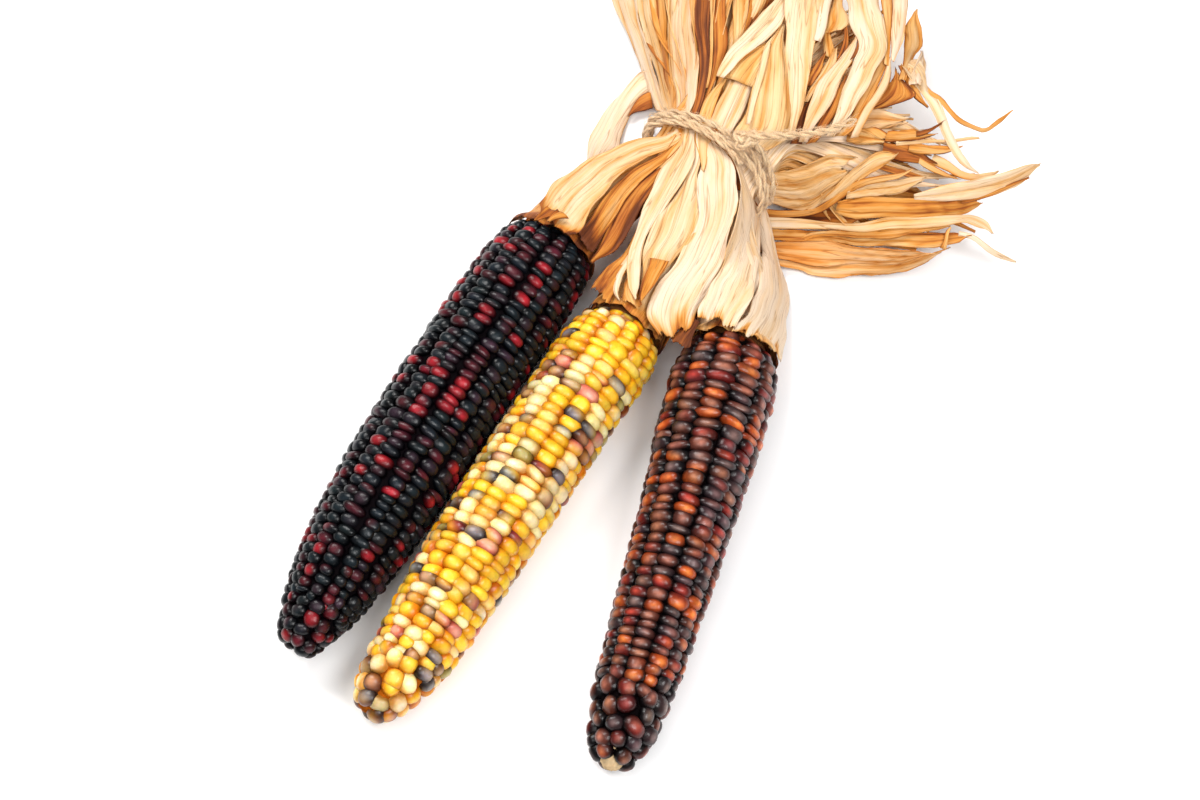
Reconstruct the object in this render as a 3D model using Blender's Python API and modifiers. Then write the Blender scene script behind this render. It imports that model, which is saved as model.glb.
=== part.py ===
"""A tied bunch of three dried ornamental corn ears, lying on a surface.

Each ear is one grown solid: kernels in rows on the cob, and the shank behind it. Its husk
leaves are folded back from the shank, run through the twine and fan out behind it. Every
leaf, every ear and the twine is its own object. Metres, +Z up, the surface at z = 0.
"""

import math

import bmesh
import bpy
import numpy as np

# ---------------------------------------------------------------------------
# Design dimensions. Everything here is in millimetres; the bunch's own frame
# has the middle of the tie over the origin, the ears along -Y, the husk tails
# along +Y, the surface it lies on at z = 0.
# ---------------------------------------------------------------------------
NECK_HALF_WIDTH = 22.0      # the gathered husks where the twine holds them
NECK_HALF_HEIGHT = 12.5
NECK_Z = 20.6               # height of the neck's centre over the surface
NECK_HALF_LENGTH = 6.0      # straight part of the neck, under the twine
NECK_TURN = math.radians(10.0)   # the neck's own direction, from +Y towards +X
NECK_LEAN = 0.42            # the tie leans: its top lies nearer the tails
LEVELS = 12                 # gathered leaves of each ear, lowest to highest
UNDER_LEVELS = 4.0          # room below them for a leaf the twine doesn't hold
SLAB_SHARE = 0.31           # half width of one leaf in the neck, of its half width
SHELL_FIRST = 9.2           # radius of the innermost husk shell at the shank
SHELL_PITCH = 1.25
SHELL_REACH = math.radians(80.0)
TAIL_RISE = 52.0            # distance in which the layers part beyond the twine
PILE_HEIGHT = 46.0          # height of the pile of tails

# base: the butt of the ear; heading: degrees from -Y towards +X; profile:
# distance from the butt and radius over the kernels' crowns; rows of kernels;
# flat: how far along the ear its underside lies on the surface.
EARS = {
    "left": {
        "base": (-37.9, -57.5), "heading": -4.1, "rows": 16, "bow": -1.6,
        "profile": [(0, 14.4), (3, 17.2), (8, 18.9), (18, 19.8), (45, 20.2), (80, 20.1),
                    (108, 19.7), (132, 18.3), (150, 15.9), (162, 13.2), (171, 10.2), (177, 7.0), (180, 3.2)],
        "column": -2.0 / 3.0, "flat": (8.0, 116.0),
    },
    "middle": {
        "base": (-1.1, -77.0), "heading": -5.0, "rows": 14, "bow": -0.8,
        "profile": [(0, 12.6), (3, 14.9), (8, 16.3), (18, 17.2), (45, 17.6), (80, 17.5),
                    (105, 17.0), (128, 15.8), (144, 14.2), (156, 12.4), (165, 9.8), (170, 7.0), (172.5, 3.4)],
        "column": 0.0, "flat": (8.0, 110.0),
    },
    "right": {
        "base": (37.6, -69.0), "heading": 9.0, "rows": 12, "bow": 1.0,
        "profile": [(0, 14.0), (3, 16.6), (8, 18.3), (18, 19.2), (38, 18.8), (62, 17.4),
                    (90, 16.2), (115, 15.2), (135, 13.8), (148, 12.2), (156, 10.0), (161, 7.0), (163, 4.0)],
        "column": 2.0 / 3.0, "flat": (8.0, 116.0),
    },
}
# the shank behind the butt: distance from the butt and radius
SHANK = [(-14.0, 5.0), (-13.0, 6.0), (-11.4, 6.8), (-2.6, 11.8), (-1.0, 12.2)]


def smooth(x):
    x = np.clip(x, 0.0, 1.0)
    return x * x * (3.0 - 2.0 * x)


def hash01(*keys):
    """A repeatable number from 0 to 1 for these keys."""
    v = 0.0
    for i, k in enumerate(keys):
        v += (float(k) + 1.37) * (12.9898, 78.233, 37.719, 94.673, 51.137)[i % 5]
    return (math.sin(v) * 43758.5453) % 1.0


def through(points, at):
    """A smooth line through the points, read at each place from 0 to 1 along it."""
    points = np.asarray(points, float)
    gaps = np.linalg.norm(np.diff(points, axis=0), axis=1) ** 0.5
    knots = np.concatenate([[0.0], np.cumsum(gaps)])
    tangents = np.zeros_like(points)
    tangents[1:-1] = (points[2:] - points[:-2]) / (knots[2:] - knots[:-2])[:, None]
    tangents[0] = (points[1] - points[0]) / gaps[0] * 1.5 - tangents[1] * 0.5
    tangents[-1] = (points[-1] - points[-2]) / gaps[-1] * 1.5 - tangents[-2] * 0.5
    where = np.asarray(at, float) * knots[-1]
    k = np.clip(np.searchsorted(knots, where, side="right") - 1, 0, len(points) - 2)
    s = ((where - knots[k]) / gaps[k])[:, None]
    h = gaps[k][:, None]
    return ((2 * s**3 - 3 * s**2 + 1) * points[k] + (s**3 - 2 * s**2 + s) * h * tangents[k]
            + (-2 * s**3 + 3 * s**2) * points[k + 1] + (s**3 - s**2) * h * tangents[k + 1])


def turned(p):
    """Points of the neck's own frame in the bunch's frame."""
    p = np.asarray(p, float)
    c, s = math.cos(NECK_TURN), math.sin(NECK_TURN)
    q = p.copy()
    q[..., 0] = p[..., 0] * c + p[..., 1] * s
    q[..., 1] = -p[..., 0] * s + p[..., 1] * c
    return q


# ---------------------------------------------------------------------------
# ears
# ---------------------------------------------------------------------------
def ear_radius(ear, s):
    table = np.array(EARS[ear]["profile"], float)
    return np.interp(s, table[:, 0], table[:, 1])


def ear_length(ear):
    return EARS[ear]["profile"][-1][0]


def ear_axis(ear, s):
    """The ear's centre line: points at the distances s from the butt, towards the tip."""
    spec = EARS[ear]
    s = np.asarray(s, float)
    a = math.radians(spec["heading"])
    along = np.array([math.sin(a), -math.cos(a), 0.0])
    side = np.array([math.cos(a), math.sin(a), 0.0])
    lo, hi = spec["flat"]
    length = ear_length(ear)
    bend = np.maximum(spec["bow"] * (1.0 - ((s - length * 0.5) / (length * 0.5)) ** 2), -9.0) if spec["bow"] > 0 else \
        np.minimum(spec["bow"] * (1.0 - ((s - length * 0.5) / (length * 0.5)) ** 2), 9.0)
    z = ear_radius(ear, np.clip(s, lo, hi)) - 0.07 * np.maximum(s - hi, 0.0)
    base = np.array([spec["base"][0], spec["base"][1], 0.0])
    return base + s[:, None] * along + bend[:, None] * side + z[:, None] * np.array([0, 0, 1.0])


# ---------------------------------------------------------------------------
# husk leaves
# ---------------------------------------------------------------------------
def neck_shape(share):
    """How much of the neck's height is left at this share of its half width."""
    return 1.0 - 0.55 * np.abs(share) ** 2.2


def level_share(level):
    return (level - (LEVELS - 1) / 2.0) / (LEVELS / 2.0)


def lean(level):
    return NECK_LEAN * NECK_HALF_HEIGHT * level_share(level)


def sleeve_axis(ear, q):
    """Centre line of an ear's husks from the butt (0) to the neck (1)."""
    spec = EARS[ear]
    a = math.radians(spec["heading"])
    start = ear_axis(ear, np.array([0.0]))[0]
    end = turned(np.array([spec["column"] * NECK_HALF_WIDTH, -NECK_HALF_LENGTH, NECK_Z]))
    reach = np.linalg.norm(end - start)
    t0 = np.array([-math.sin(a), math.cos(a), 0.0]) * reach * 0.9
    t1 = turned(np.array([0.0, 1.0, 0.0])) * reach * 0.9
    q = np.asarray(q, float)[:, None]
    return ((2 * q**3 - 3 * q**2 + 1) * start + (q**3 - 2 * q**2 + q) * t0
            + (-2 * q**3 + 3 * q**2) * end + (q**3 - q**2) * t1)


def sleeve_length(ear):
    line = sleeve_axis(ear, np.linspace(0, 1, 40))
    return float(np.linalg.norm(np.diff(line, axis=0), axis=1).sum())


def gather(q):
    """How far the section has gone from a round shell to its place in the neck."""
    return smooth((np.asarray(q, float) - 0.12) / 0.82)


def headings(xy):
    d = np.gradient(xy, axis=0)
    return d / np.maximum(np.linalg.norm(d, axis=1), 1e-9)[:, None]


def tail_top(x, y):
    """Height of the pile of tails over the surface, at a place in plan."""
    side = np.degrees(np.arctan2(x, y + 8.0))
    high = PILE_HEIGHT * (1.0 - 0.40 * smooth((side - 20.0) / 65.0) - 0.14 * smooth((-side - 25.0) / 40.0))
    r = np.hypot(x, y)
    return high * (1.0 - 0.20 * (r / 130.0) ** 2)


def tail_height(level, column, x, y):
    """Height of a gathered leaf's layer at a place in plan, beyond the twine."""
    out = np.hypot(np.maximum(np.abs(x) - NECK_HALF_WIDTH * 0.70, 0.0), np.maximum(y - NECK_HALF_LENGTH - lean(level), 0.0))
    f = smooth(out / TAIL_RISE)
    share = np.clip(x / NECK_HALF_WIDTH, -1.0, 1.0)
    neck = NECK_Z + NECK_HALF_HEIGHT * level_share(level) * neck_shape(share)
    step = tail_top(x, y) / (LEVELS + UNDER_LEVELS)
    free = 0.9 + (level + 0.33 * np.sign(column) + UNDER_LEVELS + 0.2) * step
    return (1 - f) * neck + f * free


def turn_over(spec):
    """The distance in which a tail turns to its own heading."""
    return {"left": 14.0 + 0.16 * abs(spec["turn"]), "middle": 22.0, "right": 12.0 + 0.12 * abs(spec["turn"])}[spec["ear"]]


def leaf_width(spec, s_mm):
    """Half width of a gathered leaf at a distance along its tail."""
    start = NECK_HALF_WIDTH * SLAB_SHARE
    full = spec["width"] / 2.0
    after = turn_over(spec)
    w = start + (full - start) * smooth((s_mm - after) / 30.0)
    tip = smooth((s_mm / spec["length"] - 0.52) / 0.50)
    return w * (1 - tip) + spec["tip"] * tip


def tail_plan(spec, s_mm):
    """Plan line of a gathered leaf's tail, and its heading there, in the neck's frame."""
    fine = np.linspace(0.0, spec["length"], 241)
    turn = (spec["turn"] - math.degrees(NECK_TURN)) * smooth(fine / turn_over(spec))
    turn = turn + spec["curl"] * (fine / spec["length"]) ** 1.4
    turn = turn + spec["sway"] * np.sin(fine / spec["length"] * 5.2 + spec["phase"]) * smooth(fine / 45.0)
    a = np.radians(turn)
    step = fine[1] - fine[0]
    x = EARS[spec["ear"]]["column"] * NECK_HALF_WIDTH + np.concatenate([[0.0], np.cumsum((np.sin(a[1:]) + np.sin(a[:-1])) / 2) * step])
    y = NECK_HALF_LENGTH + lean(spec["level"]) + np.concatenate([[0.0], np.cumsum((np.cos(a[1:]) + np.cos(a[:-1])) / 2) * step])
    return np.stack([np.interp(s_mm, fine, x), np.interp(s_mm, fine, y)], axis=1), np.interp(s_mm, fine, a)


def ribbon(points, at, u):
    """A strip along a line through points (x, y, z, half width, bank in degrees)."""
    pts = np.array(points, float)
    line = through(pts[:, :3], at)
    gaps = np.linalg.norm(np.diff(pts[:, :3], axis=0), axis=1) ** 0.5
    knots = np.concatenate([[0.0], np.cumsum(gaps)]) / gaps.sum()
    w = through(np.stack([pts[:, 3], pts[:, 4] / 10.0, knots * 50.0], axis=1), at)
    half = np.interp(at, knots, pts[:, 3]) * 0.5 + np.clip(w[:, 0], 0.6, None) * 0.5
    bank = np.radians(np.interp(at, knots, pts[:, 4]))
    fine = through(pts[:, :3], np.linspace(0, 1, 201))
    d = np.gradient(fine, axis=0)
    d = d / np.maximum(np.linalg.norm(d, axis=1), 1e-9)[:, None]
    d = np.stack([np.interp(at, np.linspace(0, 1, 201), d[:, k]) for k in range(3)], axis=1)
    # the level direction across the strip, carried along where the line goes steeply
    side = np.cross(d, [0.0, 0.0, 1.0])
    for i in range(len(side)):
        n = np.linalg.norm(side[i])
        if i and (n < 0.35 or side[i] @ side[i - 1] < 0):
            side[i] = side[i - 1] - (side[i - 1] @ d[i]) * d[i]
            n = np.linalg.norm(side[i])
        side[i] /= max(n, 1e-9)
    up = np.cross(side, d)
    across = side * np.cos(bank)[:, None] - up * np.sin(bank)[:, None]
    return line[:, None, :] + across[:, None, :] * (half[:, None] * u[None, :])[:, :, None]


def gathered_leaf(spec, rows_sleeve, rows_neck, rows_tail, across):
    """Points of a gathered leaf's middle surface: rows from its base on the shank to its tip, and across."""
    ear, level = spec["ear"], spec["level"]
    column = EARS[ear]["column"]
    u = np.linspace(-1.0, 1.0, across + 1)
    top = level >= LEVELS // 2
    shell = level - LEVELS // 2 if top else LEVELS // 2 - 1 - level
    radius = SHELL_FIRST + SHELL_PITCH * shell
    first = (3.2 + 2.2 * (LEVELS // 2 - 1 - shell)) / sleeve_length(ear)
    q = np.linspace(first, 1.0, rows_sleeve + 1)
    c = sleeve_axis(ear, q)
    d = headings(sleeve_axis(ear, np.linspace(0, 1, 101))[:, :2])
    dx = np.interp(q, np.linspace(0, 1, 101), d[:, 0])
    dy = np.interp(q, np.linspace(0, 1, 101), d[:, 1])
    g = gather(q)[:, None]
    phi = SHELL_REACH * u[None, :]
    arc_x, arc_z = radius * np.sin(phi), radius * np.cos(phi) * (1.0 if top else -1.0)
    share = column + SLAB_SHARE * u[None, :]
    flat_x = SLAB_SHARE * NECK_HALF_WIDTH * u[None, :]
    flat_z = NECK_HALF_HEIGHT * level_share(level) * neck_shape(share)
    sx, sz = (1 - g) * arc_x + g * flat_x, (1 - g) * arc_z + g * flat_z
    fore = lean(level) * smooth(q)[:, None]
    sleeve = np.stack([c[:, 0:1] + dy[:, None] * sx + dx[:, None] * fore,
                       c[:, 1:2] - dx[:, None] * sx + dy[:, None] * fore, c[:, 2:3] + sz], axis=2)
    y = np.linspace(-NECK_HALF_LENGTH, NECK_HALF_LENGTH, rows_neck + 1)[1:, None] + lean(level)
    ones = np.ones_like(y)
    neck = turned(np.stack([ones * (column * NECK_HALF_WIDTH + flat_x), y * np.ones_like(flat_x),
                            ones * (NECK_Z + flat_z)], axis=2))
    if "path" in spec:
        end = neck[-1].mean(axis=0)
        fwd = turned(np.array([0.0, 1.0, 0.0]))
        points = [(*(end + fwd * 0.2), NECK_HALF_WIDTH * SLAB_SHARE, 0.0),
                  (*(end + fwd * 7.0), NECK_HALF_WIDTH * SLAB_SHARE, 0.0)] + list(spec["path"])
        tail = ribbon(points, np.linspace(0.0, 1.0, rows_tail + 1)[1:], u)
        c, s = math.cos(NECK_TURN), math.sin(NECK_TURN)
        x, y = tail[..., 0] * c - tail[..., 1] * s, tail[..., 0] * s + tail[..., 1] * c
        floor = tail_height(LEVELS - 1 + spec["over"], 0.0, x, y)
        tail[..., 2] = np.maximum(tail[..., 2], floor)
        return np.concatenate([sleeve, neck, tail], axis=0)
    s = np.linspace(0.0, 1.0, rows_tail + 1)[1:] ** 1.08 * spec["length"]
    plan, a = tail_plan(spec, s)
    w = leaf_width(spec, s)[:, None] * u[None, :]
    x = plan[:, 0:1] + np.cos(a)[:, None] * w
    yy = plan[:, 1:2] - np.sin(a)[:, None] * w
    tail = turned(np.stack([x, yy, tail_height(level, column, x, yy)], axis=2))
    return np.concatenate([sleeve, neck, tail], axis=0)


def loose_leaf(points, rows, across):
    """Points of a leaf that the twine doesn't hold."""
    return ribbon(points, np.linspace(0.0, 1.0, rows + 1), np.linspace(-1.0, 1.0, across + 1))


# headings of the tails of each level, lowest first: left, middle and right ear
TAIL_HEADINGS = [(-30, 20, 106), (-12, 48, 97), (-34, 4, 103), (-20, 30, 88), (-8, 44, 100), (-32, 12, 66),
                 (-18, 36, 98), (-35, -4, 58), (-10, 26, 84), (-28, 40, 94), (-20, 2, 68), (-6, 22, 42)]
# tails that leave the pile and go their own way over it: points with half width and bank
OWN_TAILS = {
    ("middle", 11): (2.4, [(5, 20, 42, 6, 0), (12, 29, 50, 7, 0), (18, 40, 55, 8, 0), (14, 58, 59, 9, 0), (9, 78, 60, 9, 0),
                           (6, 98, 56, 7, 0), (5, 114, 49, 2.5, 0)]),
    ("middle", 10): (0.6, [(7, 32, 43, 9, 0), (13, 50, 47, 9.5, 0), (17, 70, 49, 8, 0), (19, 84, 48, 4, 0)]),
    ("right", 11): (1.5, [(33, 16, 41, 7.5, 6), (44, 30, 47, 8, 10), (46, 48, 51, 8.5, 8), (39, 66, 52, 8.5, 0), (30, 84, 51, 7.5, 0),
                          (25, 98, 47, 5, 0), (23, 108, 43, 2, 0)]),
}
LOOSE_LEAVES = {
    "left_husk_leaf_13": [(-38, -30, 8.0, 5.0, 0), (-46, -14, 6.0, 7.0, -10), (-45, 8, 8.0, 7.5, -24), (-30, 24, 10.0, 7.0, -18),
                          (-12, 34, 6.0, 6.0, -4), (-4, 52, 3.2, 5.0, 0), (-2, 70, 2.6, 2.0, 0)],
    "middle_husk_leaf_13": [(13.0, -64, 5.6, 3.5, 0), (15.5, -50, 4.4, 4.5, 0), (19.5, -36, 3.2, 6.5, 0), (31, -21, 2.6, 10, 0),
                            (51, -13, 3.0, 13, 0), (72, -6, 3.2, 10, 0), (88, -1, 3.6, 5, 0), (96, 2, 4.0, 1.5, 0)],
    "right_husk_leaf_13": [(15.0, -60, 7.6, 3.0, 0), (17.5, -46, 6.4, 4.0, 0), (23.5, -32, 5.0, 6.5, 0), (37, -20, 4.3, 9, 0),
                           (57, -14, 4.7, 10, 0), (78, -10, 5.0, 8, 0), (95, -4, 5.4, 4, 0), (104, 4, 5.0, 1.5, 0)],
}


def leaf_specs():
    """Every gathered leaf: its ear, its level in the neck and the shape of its tail."""
    specs = {}
    for e, ear in enumerate(("left", "middle", "right")):
        for level in range(LEVELS):
            r = [hash01(e, level, k) for k in range(6)]
            turn = TAIL_HEADINGS[level][e]
            spec = {
                "ear": ear, "level": level, "turn": turn,
                "length": 104.0 + 32.0 * r[0] - 0.24 * max(turn - 20.0, 0.0) - 18.0 * math.exp(-((turn - 52.0) / 14.0) ** 2),
                "width": 17.0 + 13.0 * r[1] + 0.06 * max(turn, 0.0),
                "tip": 1.2 + 1.8 * r[2],
                "curl": -1.0 * max(turn - 66.0, 0.0) + 22.0 * (r[3] - 0.5),
                "sway": 3.0 + 5.0 * r[4], "phase": 6.28 * r[5],
            }
            if (ear, level) in OWN_TAILS:
                spec["over"], spec["path"] = OWN_TAILS[(ear, level)]
            specs["%s_husk_leaf_%02d" % (ear, level + 1)] = spec
    return specs


# ---------------------------------------------------------------------------
# twine
# ---------------------------------------------------------------------------
TWINE_RADIUS = 1.55
TWINE_TURNS = 3
TWINE_PITCH = 3.5
TWINE_CLEAR = 0.65          # from the outermost leaf's middle to the twine
TWINE_AT = -4.5             # the middle of the turns, along the neck


def ring_point(angle, y):
    """A point of the twine's centre line round the neck: the angle from its right side, and how far along it."""
    c, s = np.cos(angle), np.sin(angle)
    x = (NECK_HALF_WIDTH + 2.0 + TWINE_RADIUS) * np.sign(c) * np.abs(c) ** 0.87
    top = NECK_HALF_HEIGHT * level_share(LEVELS - 1) + TWINE_CLEAR
    z = (top + TWINE_RADIUS) * np.sign(s) * np.abs(s) ** 0.87
    return np.stack([x, y + NECK_LEAN * z, NECK_Z + z], axis=-1)


def twine_wraps_path(points_each_turn=22):
    """Centre line of the turns round the neck, with both ends brought up to the knot."""
    n = TWINE_TURNS * points_each_turn
    t = np.linspace(0.0, 1.0, n + 1)
    angle = math.radians(62.0) + 2 * math.pi * TWINE_TURNS * t
    y = TWINE_AT + TWINE_PITCH * TWINE_TURNS * (t - 0.5)
    return turned(ring_point(angle, y))


LOOSE_END = [(11.2, 1.4, 38.4), (17.0, 3.2, 41.2), (24.0, 5.2, 43.6), (31.5, 8.0, 45.6), (39.0, 12.2, 47.4), (45.5, 18.0, 50.0)]


def twine_end_path(points=14):
    return through(LOOSE_END, np.linspace(0.0, 1.0, points))


# ---------------------------------------------------------------------------
# building
# ---------------------------------------------------------------------------
MM = 0.001
LEAF_THICKNESS = 0.45
ROW_DEPTH = 1.5             # how far the valley between two kernel rows lies under their crowns

COLOURS = {
    "black_kernels": ((0.020, 0.016, 0.030), 0.30),
    "yellow_kernels": ((0.780, 0.410, 0.040), 0.33),
    "brown_kernels": ((0.130, 0.030, 0.022), 0.30),
    "husk_cream": ((0.800, 0.610, 0.330), 0.72),
    "husk_tan": ((0.690, 0.440, 0.190), 0.75),
    "jute": ((0.560, 0.380, 0.230), 0.92),
}


def clear_scene():
    for obj in list(bpy.data.objects):
        bpy.data.objects.remove(obj, do_unlink=True)


def material(name):
    found = bpy.data.materials.get(name)
    if found:
        return found
    colour, roughness = COLOURS[name]
    made = bpy.data.materials.new(name)
    made.use_nodes = True
    shader = made.node_tree.nodes["Principled BSDF"]
    shader.inputs["Base Color"].default_value = (*colour, 1.0)
    shader.inputs["Roughness"].default_value = roughness
    shader.inputs["Metallic"].default_value = 0.0
    made.diffuse_color = (*colour, 1.0)
    return made


def add_mesh(name, verts_mm, faces, material_name, collection, origin_mm=(0.0, 0.0, 0.0)):
    """A named object at its own place: the mesh is kept relative to origin_mm."""
    origin = np.asarray(origin_mm, float)
    mesh = bpy.data.meshes.new(name)
    mesh.from_pydata([tuple((np.asarray(v, float) - origin) * MM) for v in verts_mm], [], faces)
    mesh.materials.append(material(material_name))
    mesh.validate()
    mesh.shade_smooth()
    obj = bpy.data.objects.new(name, mesh)
    obj.location = origin * MM
    collection.objects.link(obj)
    return obj


def lofted_ear(ear, collection, material_name):
    """One grown solid: a ribbed, tapering loft over the kernel rows, closed on the shank behind the butt."""
    rows = EARS[ear]["rows"]
    sides = rows * 2
    length = ear_length(ear)
    table = [(s, r, 0.0) for s, r in SHANK]
    stations = [1.2, 4.5, 10.0, 20.0, 38.0, 58.0, 80.0, 100.0, 116.0, 130.0]
    stations += list(length - np.array([32.0, 22.0, 13.0, 6.5, 2.2, 0.4]))
    stations = sorted(s for s in stations if 0 < s < length)
    for s in stations:
        r = float(ear_radius(ear, s))
        table.append((s, r, ROW_DEPTH * float(smooth((s - 1.0) / 6.0)) * min(1.0, r / 14.0)))
    s_all = np.array([row[0] for row in table])
    centres = ear_axis(ear, np.maximum(s_all, 0.0))
    a = math.radians(EARS[ear]["heading"])
    along = np.array([math.sin(a), -math.cos(a), 0.0])
    behind = np.minimum(s_all, 0.0)[:, None] * along
    centres = centres + behind
    side = np.array([math.cos(a), math.sin(a), 0.0])
    bm = bmesh.new()
    rings = []
    for (s, r, depth), centre in zip(table, centres):
        ring = []
        for k in range(sides):
            angle = -math.pi / 2 + 2 * math.pi * k / sides
            rr = r - (depth if k % 2 else 0.0)
            p = centre + side * (rr * math.cos(angle)) + np.array([0, 0, rr * math.sin(angle)])
            ring.append(bm.verts.new(p * MM))
        rings.append(ring)
    for one, two in zip(rings, rings[1:]):
        for k in range(sides):
            n = (k + 1) % sides
            bm.faces.new((one[k], one[n], two[n], two[k]))
    bm.faces.new(rings[0])
    bm.faces.new(rings[-1])
    bmesh.ops.recalc_face_normals(bm, faces=bm.faces)
    mesh = bpy.data.meshes.new(ear + "_ear")
    bm.to_mesh(mesh)
    bm.free()
    mesh.materials.append(material(material_name))
    mesh.shade_smooth()
    mesh.set_sharp_from_angle(angle=math.radians(50))
    obj = bpy.data.objects.new(ear + "_ear", mesh)
    collection.objects.link(obj)
    return obj


def leaf_object(name, grid, collection, material_name):
    """An open strip of leaf, given its thickness with Solidify."""
    rows, cols = grid.shape[:2]
    verts = grid.reshape(-1, 3)
    faces = []
    for i in range(rows - 1):
        for j in range(cols - 1):
            a = i * cols + j
            faces.append((a, a + 1, a + cols + 1, a + cols))
    obj = add_mesh(name, verts, faces, material_name, collection, origin_mm=grid[0].mean(axis=0))
    skin = obj.modifiers.new("Thickness", "SOLIDIFY")
    skin.thickness = LEAF_THICKNESS * MM
    skin.offset = 0.0
    skin.use_even_offset = False
    return obj


def twine_object(name, path, radius, collection):
    curve = bpy.data.curves.new(name, "CURVE")
    curve.dimensions = "3D"
    curve.bevel_depth = radius * MM
    curve.bevel_resolution = 2
    curve.use_fill_caps = True
    spline = curve.splines.new("POLY")
    spline.points.add(len(path) - 1)
    for point, p in zip(spline.points, path):
        point.co = (*(np.asarray(p) * MM), 1.0)
    curve.materials.append(material("jute"))
    obj = bpy.data.objects.new(name, curve)
    collection.objects.link(obj)
    return obj


def world_bounds(objects):
    """Lowest and highest corners of the evaluated objects, in metres."""
    bpy.context.view_layer.update()
    graph = bpy.context.evaluated_depsgraph_get()
    low, high = np.full(3, np.inf), np.full(3, -np.inf)
    for obj in objects:
        shown = obj.evaluated_get(graph)
        mesh = shown.to_mesh()
        points = np.empty(len(mesh.vertices) * 3)
        mesh.vertices.foreach_get("co", points)
        shown.to_mesh_clear()
        world = np.array(obj.matrix_world)
        points = points.reshape(-1, 3) @ world[:3, :3].T + world[:3, 3]
        low, high = np.minimum(low, points.min(axis=0)), np.maximum(high, points.max(axis=0))
    return low, high


def main():
    clear_scene()
    bunch = bpy.data.collections.new("corn_bunch")
    bpy.context.scene.collection.children.link(bunch)
    kernels = {"left": "black_kernels", "middle": "yellow_kernels", "right": "brown_kernels"}
    made = [lofted_ear(ear, bunch, kernels[ear]) for ear in ("left", "middle", "right")]
    for name, spec in leaf_specs().items():
        grid = gathered_leaf(spec, 6, 1, 14 if "path" in spec else 10, 3)
        made.append(leaf_object(name, grid, bunch, "husk_cream" if spec["level"] > 5 else "husk_tan"))
    for name, points in LOOSE_LEAVES.items():
        made.append(leaf_object(name, loose_leaf(points, 12, 3), bunch, "husk_tan"))
    made.append(twine_object("twine_wraps", twine_wraps_path(), TWINE_RADIUS, bunch))
    end = twine_object("twine_loose_end", twine_end_path(), TWINE_RADIUS, bunch)
    # the origin is under the middle of the bunch, on the surface it lies on, as
    # measured over all of it but the twine's free end
    low, high = world_bounds(made)
    place = bpy.data.objects.new("bunch_place", None)
    place.location = (-(low[0] + high[0]) / 2, -(low[1] + high[1]) / 2, -low[2])
    bunch.objects.link(place)
    for obj in made + [end]:
        obj.parent = place


main()
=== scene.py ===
"""The looks of a tied bunch of three ornamental corn ears: kernels, husks, twine, floor, light and camera.

Design coordinates are millimetres in the bunch's own frame, the same as the construction's:
the tie over the origin, ears along -Y, husk tails along +Y, the surface at z = 0.
"""

import math

import bpy
import numpy as np
from mathutils import Matrix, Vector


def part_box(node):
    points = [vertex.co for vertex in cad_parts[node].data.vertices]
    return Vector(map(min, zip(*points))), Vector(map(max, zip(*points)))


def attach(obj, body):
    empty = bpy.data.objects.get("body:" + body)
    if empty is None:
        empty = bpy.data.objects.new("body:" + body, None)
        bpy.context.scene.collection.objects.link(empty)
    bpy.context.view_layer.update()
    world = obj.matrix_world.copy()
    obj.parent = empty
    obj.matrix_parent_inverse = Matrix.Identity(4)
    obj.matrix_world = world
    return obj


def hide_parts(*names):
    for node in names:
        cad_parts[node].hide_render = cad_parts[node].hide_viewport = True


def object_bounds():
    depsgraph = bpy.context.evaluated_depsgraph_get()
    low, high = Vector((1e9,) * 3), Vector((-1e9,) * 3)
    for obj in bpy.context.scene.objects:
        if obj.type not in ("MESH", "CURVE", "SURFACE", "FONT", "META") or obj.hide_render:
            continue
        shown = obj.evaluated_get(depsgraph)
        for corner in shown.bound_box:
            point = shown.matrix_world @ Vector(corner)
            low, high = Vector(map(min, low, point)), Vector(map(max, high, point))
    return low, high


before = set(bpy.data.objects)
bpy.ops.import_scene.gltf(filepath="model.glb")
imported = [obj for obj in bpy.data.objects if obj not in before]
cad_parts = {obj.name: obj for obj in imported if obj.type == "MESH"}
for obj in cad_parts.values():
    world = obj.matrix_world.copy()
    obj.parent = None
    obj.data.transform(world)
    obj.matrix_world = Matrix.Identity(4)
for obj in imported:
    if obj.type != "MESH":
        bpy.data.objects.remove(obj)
cad_low, cad_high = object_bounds()

# ---------------------------------------------------------------------------
# Design dimensions. Everything here is in millimetres; the bunch's own frame
# has the middle of the tie over the origin, the ears along -Y, the husk tails
# along +Y, the surface it lies on at z = 0.
# ---------------------------------------------------------------------------
NECK_HALF_WIDTH = 22.0      # the gathered husks where the twine holds them
NECK_HALF_HEIGHT = 12.5
NECK_Z = 20.6               # height of the neck's centre over the surface
NECK_HALF_LENGTH = 6.0      # straight part of the neck, under the twine
NECK_TURN = math.radians(10.0)   # the neck's own direction, from +Y towards +X
NECK_LEAN = 0.42            # the tie leans: its top lies nearer the tails
LEVELS = 12                 # gathered leaves of each ear, lowest to highest
UNDER_LEVELS = 4.0          # room below them for a leaf the twine doesn't hold
SLAB_SHARE = 0.31           # half width of one leaf in the neck, of its half width
SHELL_FIRST = 9.2           # radius of the innermost husk shell at the shank
SHELL_PITCH = 1.25
SHELL_REACH = math.radians(80.0)
TAIL_RISE = 52.0            # distance in which the layers part beyond the twine
PILE_HEIGHT = 46.0          # height of the pile of tails

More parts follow.
